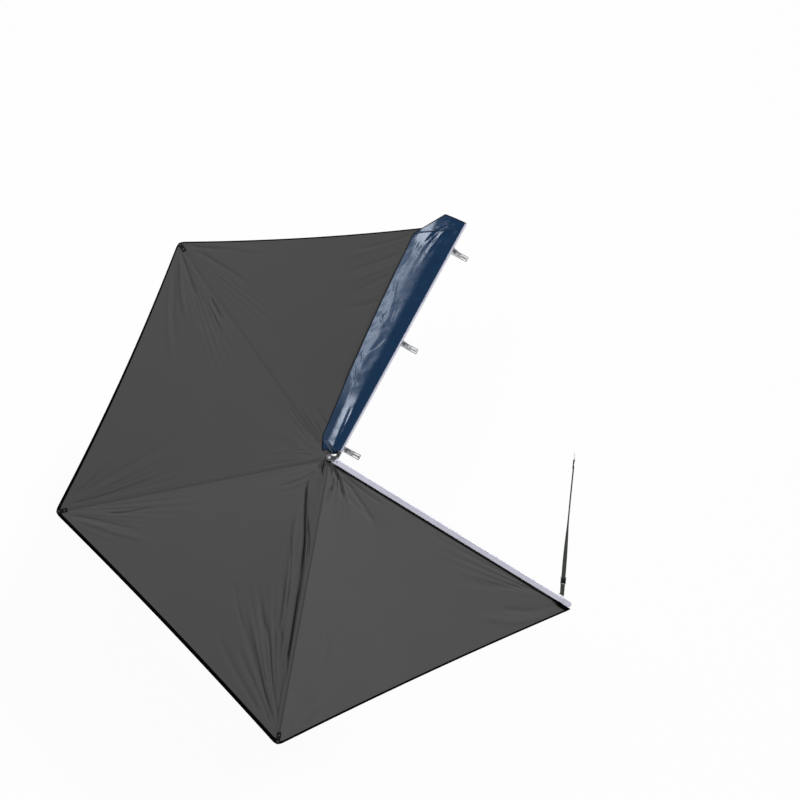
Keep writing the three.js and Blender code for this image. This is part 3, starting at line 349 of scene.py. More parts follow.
RUBBER = moulded_material(
    "foot_rubber", (0.012, 0.012, 0.012), (0.028, 0.027, 0.026), (0.75, 0.92), 240, 0.5
)
CAST_ALUMINIUM = metal_material(
    "cast_aluminium", (0.13, 0.13, 0.15), (0.26, 0.26, 0.29), 0, (0.45, 0.62), 0.5, (9, 9, 9)
)
ALUMINIUM = {0: aluminium("anodised_beam", 0)}
for number, bearing in enumerate(ARM_BEARINGS, 1):
    ALUMINIUM[number] = aluminium(f"anodised_arm_{number}", bearing)
SLOT_MATERIALS = dict(zinc_steel=PLATED, black_casting=CASTING, black_plastic=PLASTIC, bush_plastic=NYLON)
SLOT_MATERIALS.update(foot_rubber=RUBBER, cover_pvc=PVC, strap_webbing=STRAP)


def node_material(name, slot):
    digit = next((int(c) for c in name if c.isdigit()), 0)
    if name == "hub_bracket":
        return DULL_ZINC
    if slot == "aluminium":
        return CAST_ALUMINIUM if name.endswith("_knuckle") else ALUMINIUM[digit]
    return CLOTH[digit] if slot == "canopy_fabric" else SLOT_MATERIALS[slot]


slots = {part["node"]: part["material_slot"] for part in frame["record"]["subparts"]}
for name, shown in nodes.items():
    shown.data.materials.clear()
    shown.data.materials.append(node_material(name, slots[name]))


# ---- Mesh helpers
def make_object(name, points, faces, material, uv, sharp):
    """A smooth mesh, creased above some degrees. Points are given from the hub pin, with uv for each."""
    data = bpy.data.meshes.new(name)
    data.from_pydata((points.reshape(-1, 3) + HUB).tolist(), [], faces)
    data.validate()
    if uv is not None:
        corners = np.zeros(len(data.loops), np.int32)
        data.loops.foreach_get("vertex_index", corners)
        layer = data.uv_layers.new(name="cloth")
        layer.data.foreach_set("uv", uv.astype(np.float32).reshape(-1, 2)[corners].ravel())
    data.polygons.foreach_set("use_smooth", np.ones(len(data.polygons), bool))
    data.set_sharp_from_angle(angle=math.radians(sharp))
    data.materials.append(material)
    return placed(name, data)


def shell(name, grid, thickness, material, uv, up=True):
    """A closed sheet on a grid of points, rows by columns by three. With up, the grid is its upper face."""
    rows, columns = grid.shape[:2]
    normals = unit(np.cross(np.gradient(grid, axis=0), np.gradient(grid, axis=1)))
    flipped = up and normals[..., 2].mean() < 0
    if flipped:
        normals = -normals
    count = rows * columns
    index = np.arange(count).reshape(rows, columns)
    top = np.stack([index[:-1, :-1], index[1:, :-1], index[1:, 1:], index[:-1, 1:]], -1).reshape(-1, 4)
    border = np.concatenate([index[0, :-1], index[:-1, -1], index[-1, :0:-1], index[:0:-1, 0]])
    after = np.roll(border, -1)
    rim = np.stack([border, after, after + count, border + count], -1)
    faces = np.concatenate([top, top[:, ::-1] + count, rim])
    if flipped:
        faces = faces[:, ::-1]
    points = np.concatenate([grid, grid - normals * thickness])
    return make_object(name, points, faces.tolist(), material, np.concatenate([uv, uv]), 50)


def swept(name, sections, material, uv, sharp):
    """A closed body through rings of points, sections by ring by three, with its ends filled."""
    index = np.arange(sections.size // 3).reshape(sections.shape[:2])
    after = np.roll(index, -1, axis=1)
    sides = np.stack([index[:-1], after[:-1], after[1:], index[1:]], -1).reshape(-1, 4)
    faces = sides.tolist() + [index[0, ::-1].tolist(), index[-1].tolist()]
    return make_object(name, sections, faces, material, uv, sharp)


def line_frames(line):
    """Unit vectors along, across and above a line of points."""
    along = unit(np.gradient(line, axis=0))
    across = unit(np.cross((0, 0, 1), along))
    return along, across, np.cross(along, across)


def distance_along(line):
    return np.concatenate([[0], np.cumsum(np.linalg.norm(np.diff(line, axis=0), axis=-1))])


def strip_map(line, across):
    """The map of a strip: metres along its line, with a value across for each point of its section."""
    return np.stack(np.broadcast_arrays(distance_along(line)[:, None], across), -1)


def tube(name, line, radius, material):
    _, across, above = line_frames(line)
    turn = np.linspace(0, 2 * np.pi, 12, endpoint=False)
    ring = across[:, None] * np.cos(turn)[:, None] + above[:, None] * np.sin(turn)[:, None]
    return swept(name, line[:, None] + ring * radius, material, strip_map(line, turn * radius), 60)


def band(name, line, width, thickness, material, crown=0, sink=0, frames=None):
    """Flat tape along a line, with rounded edges, sunk a little below it. Its map runs across from 0 to 1."""
    across, above = frames or line_frames(line)[1:]
    line = line - above * sink
    half = np.broadcast_to(np.asarray(width, float) / 2, len(line))
    shape = np.array([
        (-1, 0.5), (-0.97, 0.9), (-0.5, 1 + crown), (0, 1 + 1.4 * crown), (0.5, 1 + crown), (0.97, 0.9),
        (1, 0.5), (0.97, 0.1), (0.5, 0), (0, 0), (-0.5, 0), (-0.97, 0.1),
    ])
    side = across[:, None] * (shape[:, 0] * half[:, None])[..., None]
    rise = above[:, None] * (shape[:, 1] * thickness)[None, :, None]
    return swept(name, line[:, None] + side + rise, material, strip_map(line, (shape[:, 0] + 1) / 2), 50)


def rides(made, body, slot, *replaced):
    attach(made, body)
    if replaced:
        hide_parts(*replaced)
    return made


# ---- Relief of the cloth
def spline(points):
    """A smooth line through three or more points."""
    padded = np.concatenate([[2 * points[0] - points[1]], points, [2 * points[-1] - points[-2]]])
    out = []
    for a, b, c, d in zip(padded, padded[1:], padded[2:], padded[3:]):
        for t in np.linspace(0, 1, 8, endpoint=False):
            bend, twist = (2 * a - 5 * b + 4 * c - d) * t * t, (3 * b - a - 3 * c + d) * t**3
            out.append(0.5 * (2 * b + (c - a) * t + bend + twist))
    return np.array(out + [points[-1]])


def fold(x, y, line, width, height, flare, ends=(0.15, 0.35)):
    """Height that one fold adds at plan points. The fold is narrow at its first end and flares."""
    out = np.zeros_like(x)
    reach = 4 * width * flare
    low, high = line.min(0) - reach, line.max(0) + reach
    near = (x > low[0]) & (x < high[0]) & (y > low[1]) & (y < high[1])
    if not near.any():
        return out
    px, py = x[near], y[near]
    best = np.full(px.shape, 1e9)
    share = np.zeros(px.shape)
    run = distance_along(line) / distance_along(line)[-1]
    for a, b, s0, s1 in zip(line, line[1:], run, run[1:]):
        d = b - a
        t = np.clip(((px - a[0]) * d[0] + (py - a[1]) * d[1]) / (d @ d), 0, 1)
        away = np.hypot(px - a[0] - t * d[0], py - a[1] - t * d[1])
        closer = away < best
        best = np.where(closer, away, best)
        share = np.where(closer, lerp(s0, s1, t), share)
    wide = width * lerp(1, flare, share)
    taper = smooth(share, 0, ends[0]) * (1 - smooth(share, 1 - ends[1], 1.0001))
    out[near] = height * np.exp(-((best / wide) ** 2)) * taper
    return out


def from_polar(points):
    reaches, bearings = np.transpose(points)
    return polar(reaches / 1000, bearings)


# folds of the canopy: width mm, height mm, flare, then the line from its sharp end to its faint end,
# as (reach, bearing) in mm and degrees from the hub pin
FOLDS = (
    # deep crease beside the hub
    (6, -24, 1.1, (48, 140), (80, 163), (120, 175), (190, 183)),
    (9, 9, 1.2, (52, 152), (100, 176), (180, 188)),
    (5, -10, 1.2, (70, 178), (130, 184), (210, 187.5)),
    (5, -12, 1.3, (60, 216), (120, 214), (190, 208)),
    (6, -11, 1.3, (150, 238), (215, 228), (300, 219)),
    # long fold that falls off the third arm's near side
    (17, -15, 1.3, (2100, 197.6), (1663, 196.8), (1342, 195.9), (1116, 195.1), (772, 191.4), (310, 166.6)),
    (8, -22, 1, (1860, 196.9), (1663, 196.8), (1342, 195.9), (1190, 195.4), (1040, 194.7)),
    (10, -28, 1, (270, 162), (330, 168), (560, 184.5), (772, 191.4), (980, 194), (1240, 195.6)),
    (7, -12, 1, (560, 187.5), (680, 191.6), (840, 194.6), (1010, 196.6)),
    (20, 13, 1.2, (1750, 193.2), (1342, 191.5), (1100, 189.6), (800, 184.5), (420, 168)),
    (15, 9, 1.2, (1900, 195.4), (1500, 193.9), (1200, 192.2), (900, 188.3)),
    (8, -12, 1, (930, 196.9), (800, 195.2), (610, 190)),
    (10, -9, 1.2, (1420, 192.6), (1180, 190.8), (960, 187.4), (760, 181)),
    # from the third tip over panel 3
    (13, -9, 2.2, (2440, 197.9), (2294, 196.1), (2156, 193.6), (1957, 189.6), (1758, 184.6), (1553, 177.7)),
    (12, -11, 2.4, (2450, 198), (2367, 197.8), (2194, 196.2), (1944, 193.3), (1695, 190), (1528, 185.8),
     (1244, 178.2)),
    (16, -8, 1.8, (2250, 196.9), (1943, 196), (1680, 194.3), (1569, 192.3), (1326, 190.2), (1005, 183.7)),
    (15, 6, 2, (2420, 197.6), (2200, 194.9), (1950, 191.5), (1740, 187.2), (1480, 180.6)),
    (15, 6, 2, (2380, 197.4), (2130, 195.2), (1850, 192.6), (1600, 189.2), (1300, 182.5)),
    (14, -5, 2, (2400, 196.6), (2180, 192.5), (1980, 186.8), (1800, 180.8)),
    (16, -4, 2, (2350, 194.6), (2150, 188.5), (1960, 181), (1800, 174)),
    (10, -6, 1.2, (2300, 197.2), (2187, 197.1), (1943, 196.7), (1800, 196.4)),
    (9, -4, 1.6, (1390, 170.5), (1560, 177), (1738, 183.3)),
    # between the fourth arm and the hub
    (8, -11, 1.4, (62, 225.5), (160, 233.3), (310, 228.2), (434, 226)),
    (8, 6, 1.4, (80, 236), (190, 240), (330, 233.5), (520, 229.5)),
    (7, -9, 1.2, (186, 220.1), (256, 212.7), (330, 207.8)),
    (10, -7, 1.4, (245, 215.9), (400, 204), (598, 195.2)),
    (11, 6, 1.5, (235, 210), (330, 203.5), (520, 198.8)),
    (12, -4, 1.8, (260, 243), (520, 243.5), (820, 242)),
    (12, -5, 2, (2450, 199.6), (2281, 201.8), (2050, 206)),
    (11, 4, 2, (2450, 200.6), (2290, 203.8), (2080, 209)),
    (18, -4, 2, (1995, 204), (1800, 207), (1500, 209)),
    # by the fourth tip
    (16, -4, 2, (2428, 266), (2238, 260.9), (1980, 256)),
    (18, 4, 2, (2400, 262.5), (2200, 257), (1900, 251)),
    (20, -4, 1.8, (2300, 267), (2074, 264.5), (1794, 259.1), (1500, 254)),
    # from the first tip over panel 2
    (10, -10, 2, (2450, 64.7), (2330, 65.7), (2186, 67), (1950, 69.2)),
    (12, 8, 2.2, (2430, 65.5), (2290, 67.6), (2140, 70.5), (1850, 76)),
    (14, -5, 2.2, (2380, 67.5), (2200, 71.8), (1980, 78), (1780, 84)),
    (16, 4, 2, (2300, 70.5), (2100, 76), (1900, 82), (1700, 88)),
    (9, -8, 1.3, (1921, 65.7), (1780, 66.4), (1652, 67.4)),
    (9, 5, 1.3, (1900, 66.6), (1760, 67.6), (1600, 69)),
    (9, -5, 1.4, (1780, 67.8), (1640, 69.4), (1500, 71.5)),
    # from the second tip over panel 2
    (12, -6, 2.4, (2440, 128.6), (2243, 128.3), (1816, 126.9), (1500, 124)),
    (13, -5, 2.6, (2420, 127.6), (2172, 123.2), (1862, 113.8), (1600, 105)),
    (13, 5, 2.6, (2400, 127), (2120, 121.4), (1800, 111.8), (1500, 101)),
    (14, -5, 2.6, (2400, 128), (2077, 123.8), (1659, 116.9), (1342, 106.3)),
    (14, 4, 2.4, (2380, 128.2), (2050, 125.2), (1620, 119.6), (1300, 110.5)),
    # short creases beside the second arm, on panel 3
    (8, -7, 1.4, (2100, 132.4), (1917, 133.3), (1833, 133.6), (1650, 134.2)),
    (10, -5, 2, (2430, 130.8), (2250, 132.6), (2050, 135.5), (1800, 140)),
    (12, 4, 2, (2420, 131.4), (2230, 134), (2000, 138.5), (1700, 145)),
    # from the first tip over panel 1, along its outer edge
    (11, -6, 2.4, (2465, 63), (2330, 58.8), (2241, 55.1), (2150, 50)),
    (12, 5, 2.4, (2460, 62.4), (2300, 57), (2180, 51.5), (2080, 45)),
    (11, -4, 2.2, (2440, 62.8), (2200, 59.6), (1950, 56), (1700, 53)),
    # from the cover's outer corner
    (12, -6, 2.4, (2290, 8.9), (2181, 12), (2061, 17.6), (1980, 24)),
    (13, 5, 2.4, (2240, 9.2), (2120, 13.8), (2000, 20), (1900, 27)),
    (13, -5, 2.2, (2100, 9.6), (1960, 13.8), (1840, 20), (1740, 27)),
    (12, 4, 2.2, (1980, 9.9), (1860, 14), (1740, 20), (1640, 27)),
    (12, -5, 2.2, (1860, 10.2), (1740, 14.4), (1620, 19.8), (1520, 26)),
    (12, -4, 2, (1577, 11), (1500, 15), (1453, 19.7), (1400, 25)),
    (11, 3, 2, (1640, 11), (1560, 15.6), (1490, 21)),
)
FOLD_GAIN = 1.5
FOLD_LINES = [
    (width / 1000, height * FOLD_GAIN / 1000, flare, spline(from_polar(points)))
    for width, height, flare, *points in FOLDS
]


def faint_folds():
    """Small folds beside the arms' inner ends and near each tip."""
    made = []

    def draw(points, widths, heights, flare=None):
        width, height = rng.uniform(*widths) / 1000, rng.uniform(*heights) / 1000
        made.append((width, height, flare or rng.uniform(1.2, 2.2), spline(from_polar(points))))

    for number, bearing in enumerate(ARM_BEARINGS, 1):
        for side in (-1, 1):
            if number == LAST and side == 1:
                continue
            for _ in range(9):
                start, length, lean = rng.uniform(90, 260), rng.uniform(150, 520), side * rng.uniform(3, 24)
                points = [(start + length * s, bearing + lean * k) for s, k in ((0, 2.2), (0.5, 1.4), (1, 1))]
                draw(points, (5, 11), (-4, 3.2))
            for _ in range(5):
                reach, lean = rng.uniform(2150, 2380), side * rng.uniform(1.2, 5.5)
                far = (reach - rng.uniform(250, 650), bearing + lean * rng.uniform(2, 3.4))
                draw(((2440, bearing + side * 0.5), (reach, bearing + lean), far), (8, 15), (-2.6, 2.6), 2)
    return made


FOLD_LINES += faint_folds()


def arm_clearance(x, y):
    """Distance from the nearest arm's middle line, for reaches over the arms."""
    away = np.full(x.shape, 9)
    for bearing in ARM_BEARINGS:
        c, s = polar(1, bearing)
        ahead = x * c + y * s > 0.04
        away = np.where(ahead, np.minimum(away, np.abs(y * c - x * s)), away)
    return away


# fans of ripples from the tips: arm, side of the arm, height mm, ripples per radian, spread in degrees
FANS = (
    (1, 1, 2.6, 17, 30),
    (1, -1, 2, 15, 26),
    (2, -1, 2.3, 16, 30),
    (2, 1, 2, 15, 28),
    (3, -1, 5, 17, 36),
    (3, 1, 2.6, 15, 28),
    (4, -1, 2.2, 15, 26),
)


def fans(x, y):
    out = np.zeros_like(x)
    for arm, side, height, pitch, spread in FANS:
        c, s = polar(1, ARM_BEARINGS[arm - 1])
        ahead = CLOTH_CORNER - 0.02 - (x * c + y * s)
        aside = side * (y * c - x * s)
        away = np.hypot(ahead, aside)
        angle = np.arctan2(aside, ahead)
        wave = np.sin(2 * math.pi * pitch * angle + 1.4 * np.sin(7 * angle + 2.2 * away + arm) + 2 * arm)
        uneven = 0.65 + 0.35 * np.sin(11 * angle + 3 * arm + 1.3 * away)
        widest = math.radians(spread)
        window = smooth(angle, 0.01, 0.08) * (1 - smooth(angle, widest * 0.5, widest))
        length = smooth(away, 0.03, 0.45) * (1 - smooth(away, 0.75, 1.55))
        out += height / 1000 * wave * uneven * window * length
    return out


GATHER_HEIGHT, GATHER_REACH = 0.009, 0.22  # of the cloth round the hub
RIPPLE_HEIGHT, RIPPLE_REACH = 0.0042, 0.9  # further out from it
KNUCKLE_HEIGHT, KNUCKLE_WIDTH, KNUCKLE_REACH = 0.0048, 0.013, 0.078  # where a knuckle presses from below


def relief(x, y):
    """How far folds lift or lower the cloth at plan points."""
    out = fans(x, y)
    for width, height, flare, line in FOLD_LINES:
        out += fold(x, y, line, width, height, flare)
    reach, bearing = np.hypot(x, y), np.arctan2(y, x)
    gather = 0.5 + 0.5 * np.cos(bearing * 13 + 1.7 * np.sin(reach * 7) + 0.8 * np.sin(bearing * 3))
    out += GATHER_HEIGHT * gather * np.exp(-reach / GATHER_REACH)
    ripple = np.sin(bearing * 9 + reach * 2.1 + 1.3) * np.sin(bearing * 4 - 1.1)
    out += RIPPLE_HEIGHT * ripple * np.exp(-reach / RIPPLE_REACH) * smooth(reach, 0.1, 0.35)
    # calm under the cover's rear corner
    covered = smooth(-bearing, math.radians(-78), math.radians(-66)) * smooth(-reach, -0.3, -0.2)
    out *= 1 - 0.75 * np.where(bearing > -0.5, covered, 0)
    # over an arm the cloth can only rise
    clear = smooth(arm_clearance(x, y), 0.022, 0.048)
    out = np.where(out < 0, out * clear, out * lerp(0.45, 1, clear))
    for arm in ARM_BEARINGS[:3]:
        head = polar(KNUCKLE_REACH, arm)
        out += KNUCKLE_HEIGHT * np.exp(-(((x - head[0]) ** 2 + (y - head[1]) ** 2) / KNUCKLE_WIDTH**2))
    return out


# ---- Canopy panels
BEAM_GAP = 0.0003
LAST_EDGE_DROP, LAST_EDGE_GAP = 0.0075, 0.0006  # the last panel's edge lies along its arm's side


def arm_point(number, reach, aside, height):
    """A point in an arm's own frame: aside is towards the next arm, height from the arm's seat."""
    c, s = polar(1, ARM_BEARINGS[number - 1])
    reach, aside, height = np.broadcast_arrays(*(np.asarray(v, float) for v in (reach, aside, height)))
    return np.stack([reach * c - aside * s, reach * s + aside * c, height + SLAB * (number - 1)], -1)


def edge_of(number):
    """The line that carries a panel's edge, as its inner and outer ends: 0 is the beam."""
    if number == 0:
        y = BEAM_FACE + BEAM_GAP
        return np.array([(BEAM_START - 0.03, y, GROOVE_HEIGHT), (BEAM_END, y, GROOVE_HEIGHT)])
    aside, height = 0, ARM_TOP + CLOTH_LIFT
    if number == LAST:
        aside, height = -(ARM_HALF + LAST_EDGE_GAP), height - LAST_EDGE_DROP
    return arm_point(number, (CLOTH_INNER, CLOTH_CORNER), aside, height)


def round_corners(point, radial):
    """Draws the outer edge in where it turns the corner over an arm."""
    away = arm_clearance(point[..., 0], point[..., 1])
    drawn = CORNER_ROUND * np.clip(1 - away / CORNER_REACH, 0, 1) ** 2 * smooth(radial, 0.9, 1)
    reach = np.hypot(point[..., 0], point[..., 1])
    point[..., :2] *= (1 - drawn / reach)[..., None]


def panel_points(number, radial, across):
    """Points of a panel's upper face, for radial and across shares of any one shape."""
    a = lerp(*edge_of(number - 1), radial[..., None])
    b = lerp(*edge_of(number), radial[..., None])
    chord = b - a
    span = np.hypot(chord[..., 0], chord[..., 1])
    first = np.minimum((EDGE_LAND if number == 1 else CLOTH_LAND) / span, 0.3)
    last = np.minimum((EDGE_LAND if number == LAST else CLOTH_LAND) / span, 0.3)
    point = a + chord * across[..., None]
    rise = np.clip((across - first) / (1 - first - last), 0, 1)
    point[..., 2] = lerp(a[..., 2], b[..., 2], rise)
    land = np.maximum(first, last)
    inside = np.clip(np.minimum(across - land, 1 - land - across), 0, None)
    slack = np.sin(np.minimum(1, inside / (0.5 - land)) * np.pi / 2)
    drawn = EDGE_BOWS[number - 1] * radial * 4 * across * (1 - across) / span
    point[..., 0] -= chord[..., 1] * drawn
    point[..., 1] += chord[..., 0] * drawn
    round_corners(point, radial)
    held = smooth(across * span, 0, 0.05) if number == 1 else 1
    if number == LAST:
        held = smooth((1 - across) * span, 0, 0.03)
    calm = lerp(1, 0.45, smooth(radial, 0.955, 1))
    ridge = 0.0016 * np.exp(-((((1 - radial) * CLOTH_CORNER - 0.052) / 0.006) ** 2))
    ridge *= 1 if number in (2, 3) else 0.4
    lifted = relief(point[..., 0], point[..., 1]) * held * calm
    point[..., 2] += slack * -SAG * np.sqrt(np.clip(radial, 0, 1)) + lifted + ridge
    return point


def bends(made):
    """Bakes the piece's placement into its mesh."""
    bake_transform(made)
    return made


def make_panel(number):
    rows, columns = 236, 196
    # rows are denser at the hub, and columns at the arms
    steps = np.linspace(0, 1, columns)
    steps = steps - 0.45 * np.sin(2 * np.pi * steps) / (2 * np.pi)
    grid = panel_points(number, *np.meshgrid(np.linspace(0, 1, rows) ** 1.18, steps, indexing="ij"))
    turns = ARM_BEARINGS[number - 1] + np.array((0, 90))
    uv = grid[..., :2] @ polar(1, turns).T
    panel = shell(f"canopy_cloth_{number}", grid, CLOTH_THICK, CLOTH[number], uv)
    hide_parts(f"canopy_panel_{number}")
    return bends(panel)


HEM_WIDTHS = ((0.014, 0.014), (0.016, 0.034), (0.037, 0.04), (0.022, 0.018))  # at each panel's two arms
# section of a hem, from its sewn edge round the cloth's and back: share of its width, and height
HEM_PROFILE = np.array([
    (1, 0.0012), (0.98, 0.0019), (0.5, 0.0021), (0.08, 0.0021), (-0.04, 0.0008),
    (-0.04, -0.0012), (0.08, -0.0024), (0.5, -0.0024), (0.98, -0.0022), (1, -0.0014),
])


def make_hem(number):
    """Webbing folded over a panel's outer edge and sewn down."""
    across = np.linspace(0, 1, 220)[:, None]
    shares, lifts = HEM_PROFILE.T
    radial = 1 - shares * lerp(*HEM_WIDTHS[number - 1], across) / CLOTH_CORNER
    sections = panel_points(number, *np.broadcast_arrays(radial, across))
    sections[..., 2] += lifts
    hem = swept(f"canopy_hem_{number}", sections, HEM, strip_map(sections[:, 3], shares * 0.03), 50)
    return bends(hem)


def make_seam(number):
    """The felled seam where two panels meet over an arm."""
    reach = np.linspace(0.195 if number == 1 else 0.105, 2.42, 260)
    line = arm_point(number, reach, 0, ARM_TOP + CLOTH_LIFT + 0.0004)
    line[:, 2] += relief(line[:, 0], line[:, 1])
    seam = band(f"canopy_seam_{number}", line, 0.014, 0.0016, SEAM)
    return rides(seam, f"arm_{number}", "canopy_fabric")


panels, hems = [], []
for number in range(1, LAST + 1):
    panels.append(make_panel(number))
    hems.append(make_hem(number))
seams = [make_seam(number) for number in range(1, LAST)]

# the flat cloth of each panel: its length from the hub, and its width at the outer edge
PANEL_CUTS = ((2.52, 2.66), (2.5, 2.72), (2.5, 2.85), (2.48, 2.84))
for number, (panel, flat) in enumerate(zip(panels, PANEL_CUTS), 1):
    points = panel_points(number, *np.meshgrid(np.linspace(0, 1, 40), np.linspace(0, 1, 40), indexing="ij"))


# ---- Edge of the last panel
def make_side_tape():
    """Black tape along the side of the last arm, where the canopy ends, with its large stitches."""
    reach = np.linspace(0.075, 2.44, 240)
    line = arm_point(LAST, reach, -(ARM_HALF + 0.0105), ARM_TOP - 0.0045)
    line[:, 2] += 0.0004 * np.sin(reach * 31)
    return rides(band("canopy_side_tape", line, 0.019, 0.0022, EDGE_TAPE), "arm_4", "strap_webbing")


def make_corner_tab():
    """The doubled webbing at the canopy's last corner, tucked beside the arm's end."""
    start, end = 2.365, 2.515
    reach = np.linspace(start, end, 26)
    line = arm_point(LAST, reach, lerp(-0.038, -0.043, smooth(reach, 2.39, 2.45)), ARM_TOP - 0.0035)
    line[:, 2] += 0.0016 * np.sin((reach - start) / (end - start) * math.pi * 2)
    widths = lerp(0.018, 0.04, smooth(reach, 2.385, 2.43)) * lerp(1, 0.7, smooth(reach, 2.485, end))
    return rides(band("canopy_corner_tab", line, widths, 0.0042, HEM, crown=0.15), "arm_4", "strap_webbing")


make_side_tape()
make_corner_tab()


# ---- Cover: the open flap and the gusset at its far end
HINGE_Y = BEAM_FACE - 0.015 + BEAM_GAP
HINGE_LEVEL = BEAM_TOP + 0.002
COVER_LEVEL = BEAM_TOP + 0.0028
COVER_WIDTHS, COVER_BULGE = (0.212, 0.388), 0.016  # at the rear and at the flap's far end
FLAP_FAR_EDGE = (2.505, 2.262)  # x at the hinge and at the outer corner
GUSSET_FAR_EDGE, GUSSET_WIDTH = (BEAM_END, 2.566), 0.207
DRAPE_LEVEL = 0.0474
FLAP_THICK = 0.0011
# the rear edge of the cover, as (across, x) from the hinge line out to its corner
REAR_EDGE = (
    (0, 0.092), (0.019, 0.092), (0.045, 0.042), (0.08, 0.052),
    (0.13, 0.052), (0.15, 0.026), (0.176, 0.078), (0.212, 0.146),
)


def flap_rear(across, width):
    places, reaches = zip(*REAR_EDGE)
    return np.interp(across * COVER_WIDTHS[0] / width, places, reaches)


# dents of the cover: direction in radians, length m, shift, height m
CRUMPLES = [
    (rng.normal(0.9, 0.5), rng.uniform(0.05, 0.17), rng.uniform(0, 6), rng.uniform(0.0003, 0.0009))
    for _ in range(9)
]

# folds of the cover, in mm from the hub pin: width, height, flare, then points (x, y)
COVER_FOLDS = (
    (26, 2.6, 1.2, (2420, 150), (2240, 190), (2020, 205), (1780, 212)),
    (14, 3.4, 1.4, (2520, 40), (2400, 95), (2210, 130), (1950, 150)),
    (10, -3, 1.4, (2510, 60), (2420, 130), (2300, 180), (2180, 215)),
    (9, 2.6, 1.4, (2530, 30), (2460, 110), (2390, 180)),
    (18, 2.2, 1.3, (2240, 262), (2050, 262), (1850, 250)),
    (14, 2.6, 1.2, (1800, 262), (1700, 245), (1600, 205), (1500, 190)),
    (18, 3, 1.3, (1560, 200), (1440, 165), (1330, 175), (1250, 205)),
    (11, -2.4, 1.2, (1520, 150), (1440, 140), (1370, 120)),
    (12, 2.6, 1.2, (1440, 250), (1380, 215), (1300, 150)),
    (24, 2.8, 1.2, (1300, 150), (1120, 160), (900, 165), (760, 168)),
    (12, -2.4, 1.2, (1240, 95), (1140, 120), (1060, 160), (990, 210)),
    (11, 2.4, 1.2, (1010, 225), (960, 190), (900, 150)),
    (10, 2.6, 1.2, (880, 205), (800, 160), (730, 110)),
    (10, -2.6, 1.2, (840, 215), (760, 160), (700, 95)),
    (12, -2, 1.5, (150, 20), (330, 40), (560, 60)),
    (5, -2.2, 1.5, (60, 110), (75, 70), (100, 40)),
    (5, 1.8, 1.5, (72, 118), (92, 84), (130, 60)),
)
COVER_LINES = [
    (width / 1000, height / 1000, flare, spline(np.array(points) / 1000))
    for width, height, flare, *points in COVER_FOLDS
]


def cover_faint():
    """Faint folds scattered over the cover."""
    made = []
    for _ in range(26):
        start = np.array((rng.uniform(0.6, 2.35), rng.uniform(0.03, 0.27)))
        lean, length = rng.normal(0.25, 0.5), rng.uniform(0.05, 0.22)
        run = length * np.array((math.cos(lean), math.sin(lean)))
        line = start + np.array([(0, 0), run / 2 + (0, 0.012), run])
        made.append((rng.uniform(9, 20) / 1000, rng.uniform(-1.6, 1.5) / 1000, 1.5, spline(line)))
    return made


COVER_LINES += cover_faint()


def crumple(x, y):
    """Uneven dents of the cover: waves that cross one another."""
    out = np.zeros_like(x)
    for turn, length, shift, height in CRUMPLES:
        c, s = math.cos(turn), math.sin(turn)
        warp = 0.6 * np.sin(9 * x + 5 * shift) + 0.5 * np.sin(23 * y + shift)
        out += height * np.sin(2 * math.pi * (x * c + y * s) / length + shift + warp)
    patch = 0.55 + 0.45 * np.sin(5.3 * x + 1.1) * np.sin(3.1 * x + 14 * y)
    return out * patch


# slopes across the cover, before and after each of its soft kinks, at shares of its length
KINKS = (0.32, 0.67, 0.9)
KINK_BLUR = 0.01
SLOPES = (
    (0.00, 0.16, -0.18, -0.32, -0.32),
    (0.22, 0.13, -0.16, -0.30, -0.30),
    (0.30, 0.09, -0.01, -0.10, -0.26),
    (0.80, 0.07, -0.01, -0.09, -0.24),
    (0.90, 0.07, -0.08, -0.15, -0.30),
    (1.00, 0.06, -0.06, -0.15, -0.30),
)


def cross_section(across, width, flap):
    """Height of the cover's sheet over its hinge line."""
    shares, *slopes = zip(*SLOPES)
    slopes = [np.interp(flap, shares, column) for column in slopes]
    height = slopes[0] * across
    for kink, before, after in zip(KINKS, slopes, slopes[1:]):
        height = height + (after - before) * KINK_BLUR * np.logaddexp(0, (across - kink * width) / KINK_BLUR)
    return height


def cover_points(along, over):
    """Upper face of the cover. Along is 0 at the rear, 1 at the flap's far end and 2 at the gusset's."""
    flap, out = np.clip(along, 0, 1), np.clip(along - 1, 0, 1)
    width = lerp(*COVER_WIDTHS, flap) + COVER_BULGE * np.sin(flap * np.pi)
    across = over * width
    x = lerp(flap_rear(across, width), lerp(*FLAP_FAR_EDGE, over), flap)
    x = lerp(x, lerp(*GUSSET_FAR_EDGE, over), out)
    across = lerp(across, over * GUSSET_WIDTH, out)
    y = HINGE_Y + across
    dents = crumple(x, y) * lerp(0.3, 1, smooth(flap, 0.22, 0.4) * (1 - 0.5 * smooth(flap, 0.84, 0.92)))
    for fold_width, height, flare, line in COVER_LINES:
        dents = dents + fold(x, y, line, fold_width, height, flare, (0.2, 0.3))
    calm = smooth(across, 0, 0.05) * lerp(1, 0.45, smooth(over, 0.9, 1))
    welt = 0.004 * np.exp(-(((along - 1) / 0.03) ** 2)) * smooth(across, 0.02, 0.06)
    z = COVER_LEVEL + cross_section(across, width, flap) + np.maximum(dents, -0.009) * calm + welt
    # the rear corner lies down on the canopy over the first arm, so that the next arm shuts above it
    c, s = polar(1, ARM_BEARINGS[0])
    z = np.minimum(z, lerp(DRAPE_LEVEL, 0.1, smooth(x * s - y * c, 0.03, 0.11)))
    return np.stack([x, y, z], -1)


def make_cover():
    along = np.concatenate([np.linspace(0, 1, 330), 1 + np.linspace(0, 1, 26)[1:]])
    grid = cover_points(*np.meshgrid(along, np.linspace(0, 1, 92), indexing="ij"))
    made = shell("cover_sheet", grid, FLAP_THICK, PVC, grid[..., :2])
    return rides(made, "cover", "cover_pvc", "cover_flap", "cover_end_gusset")


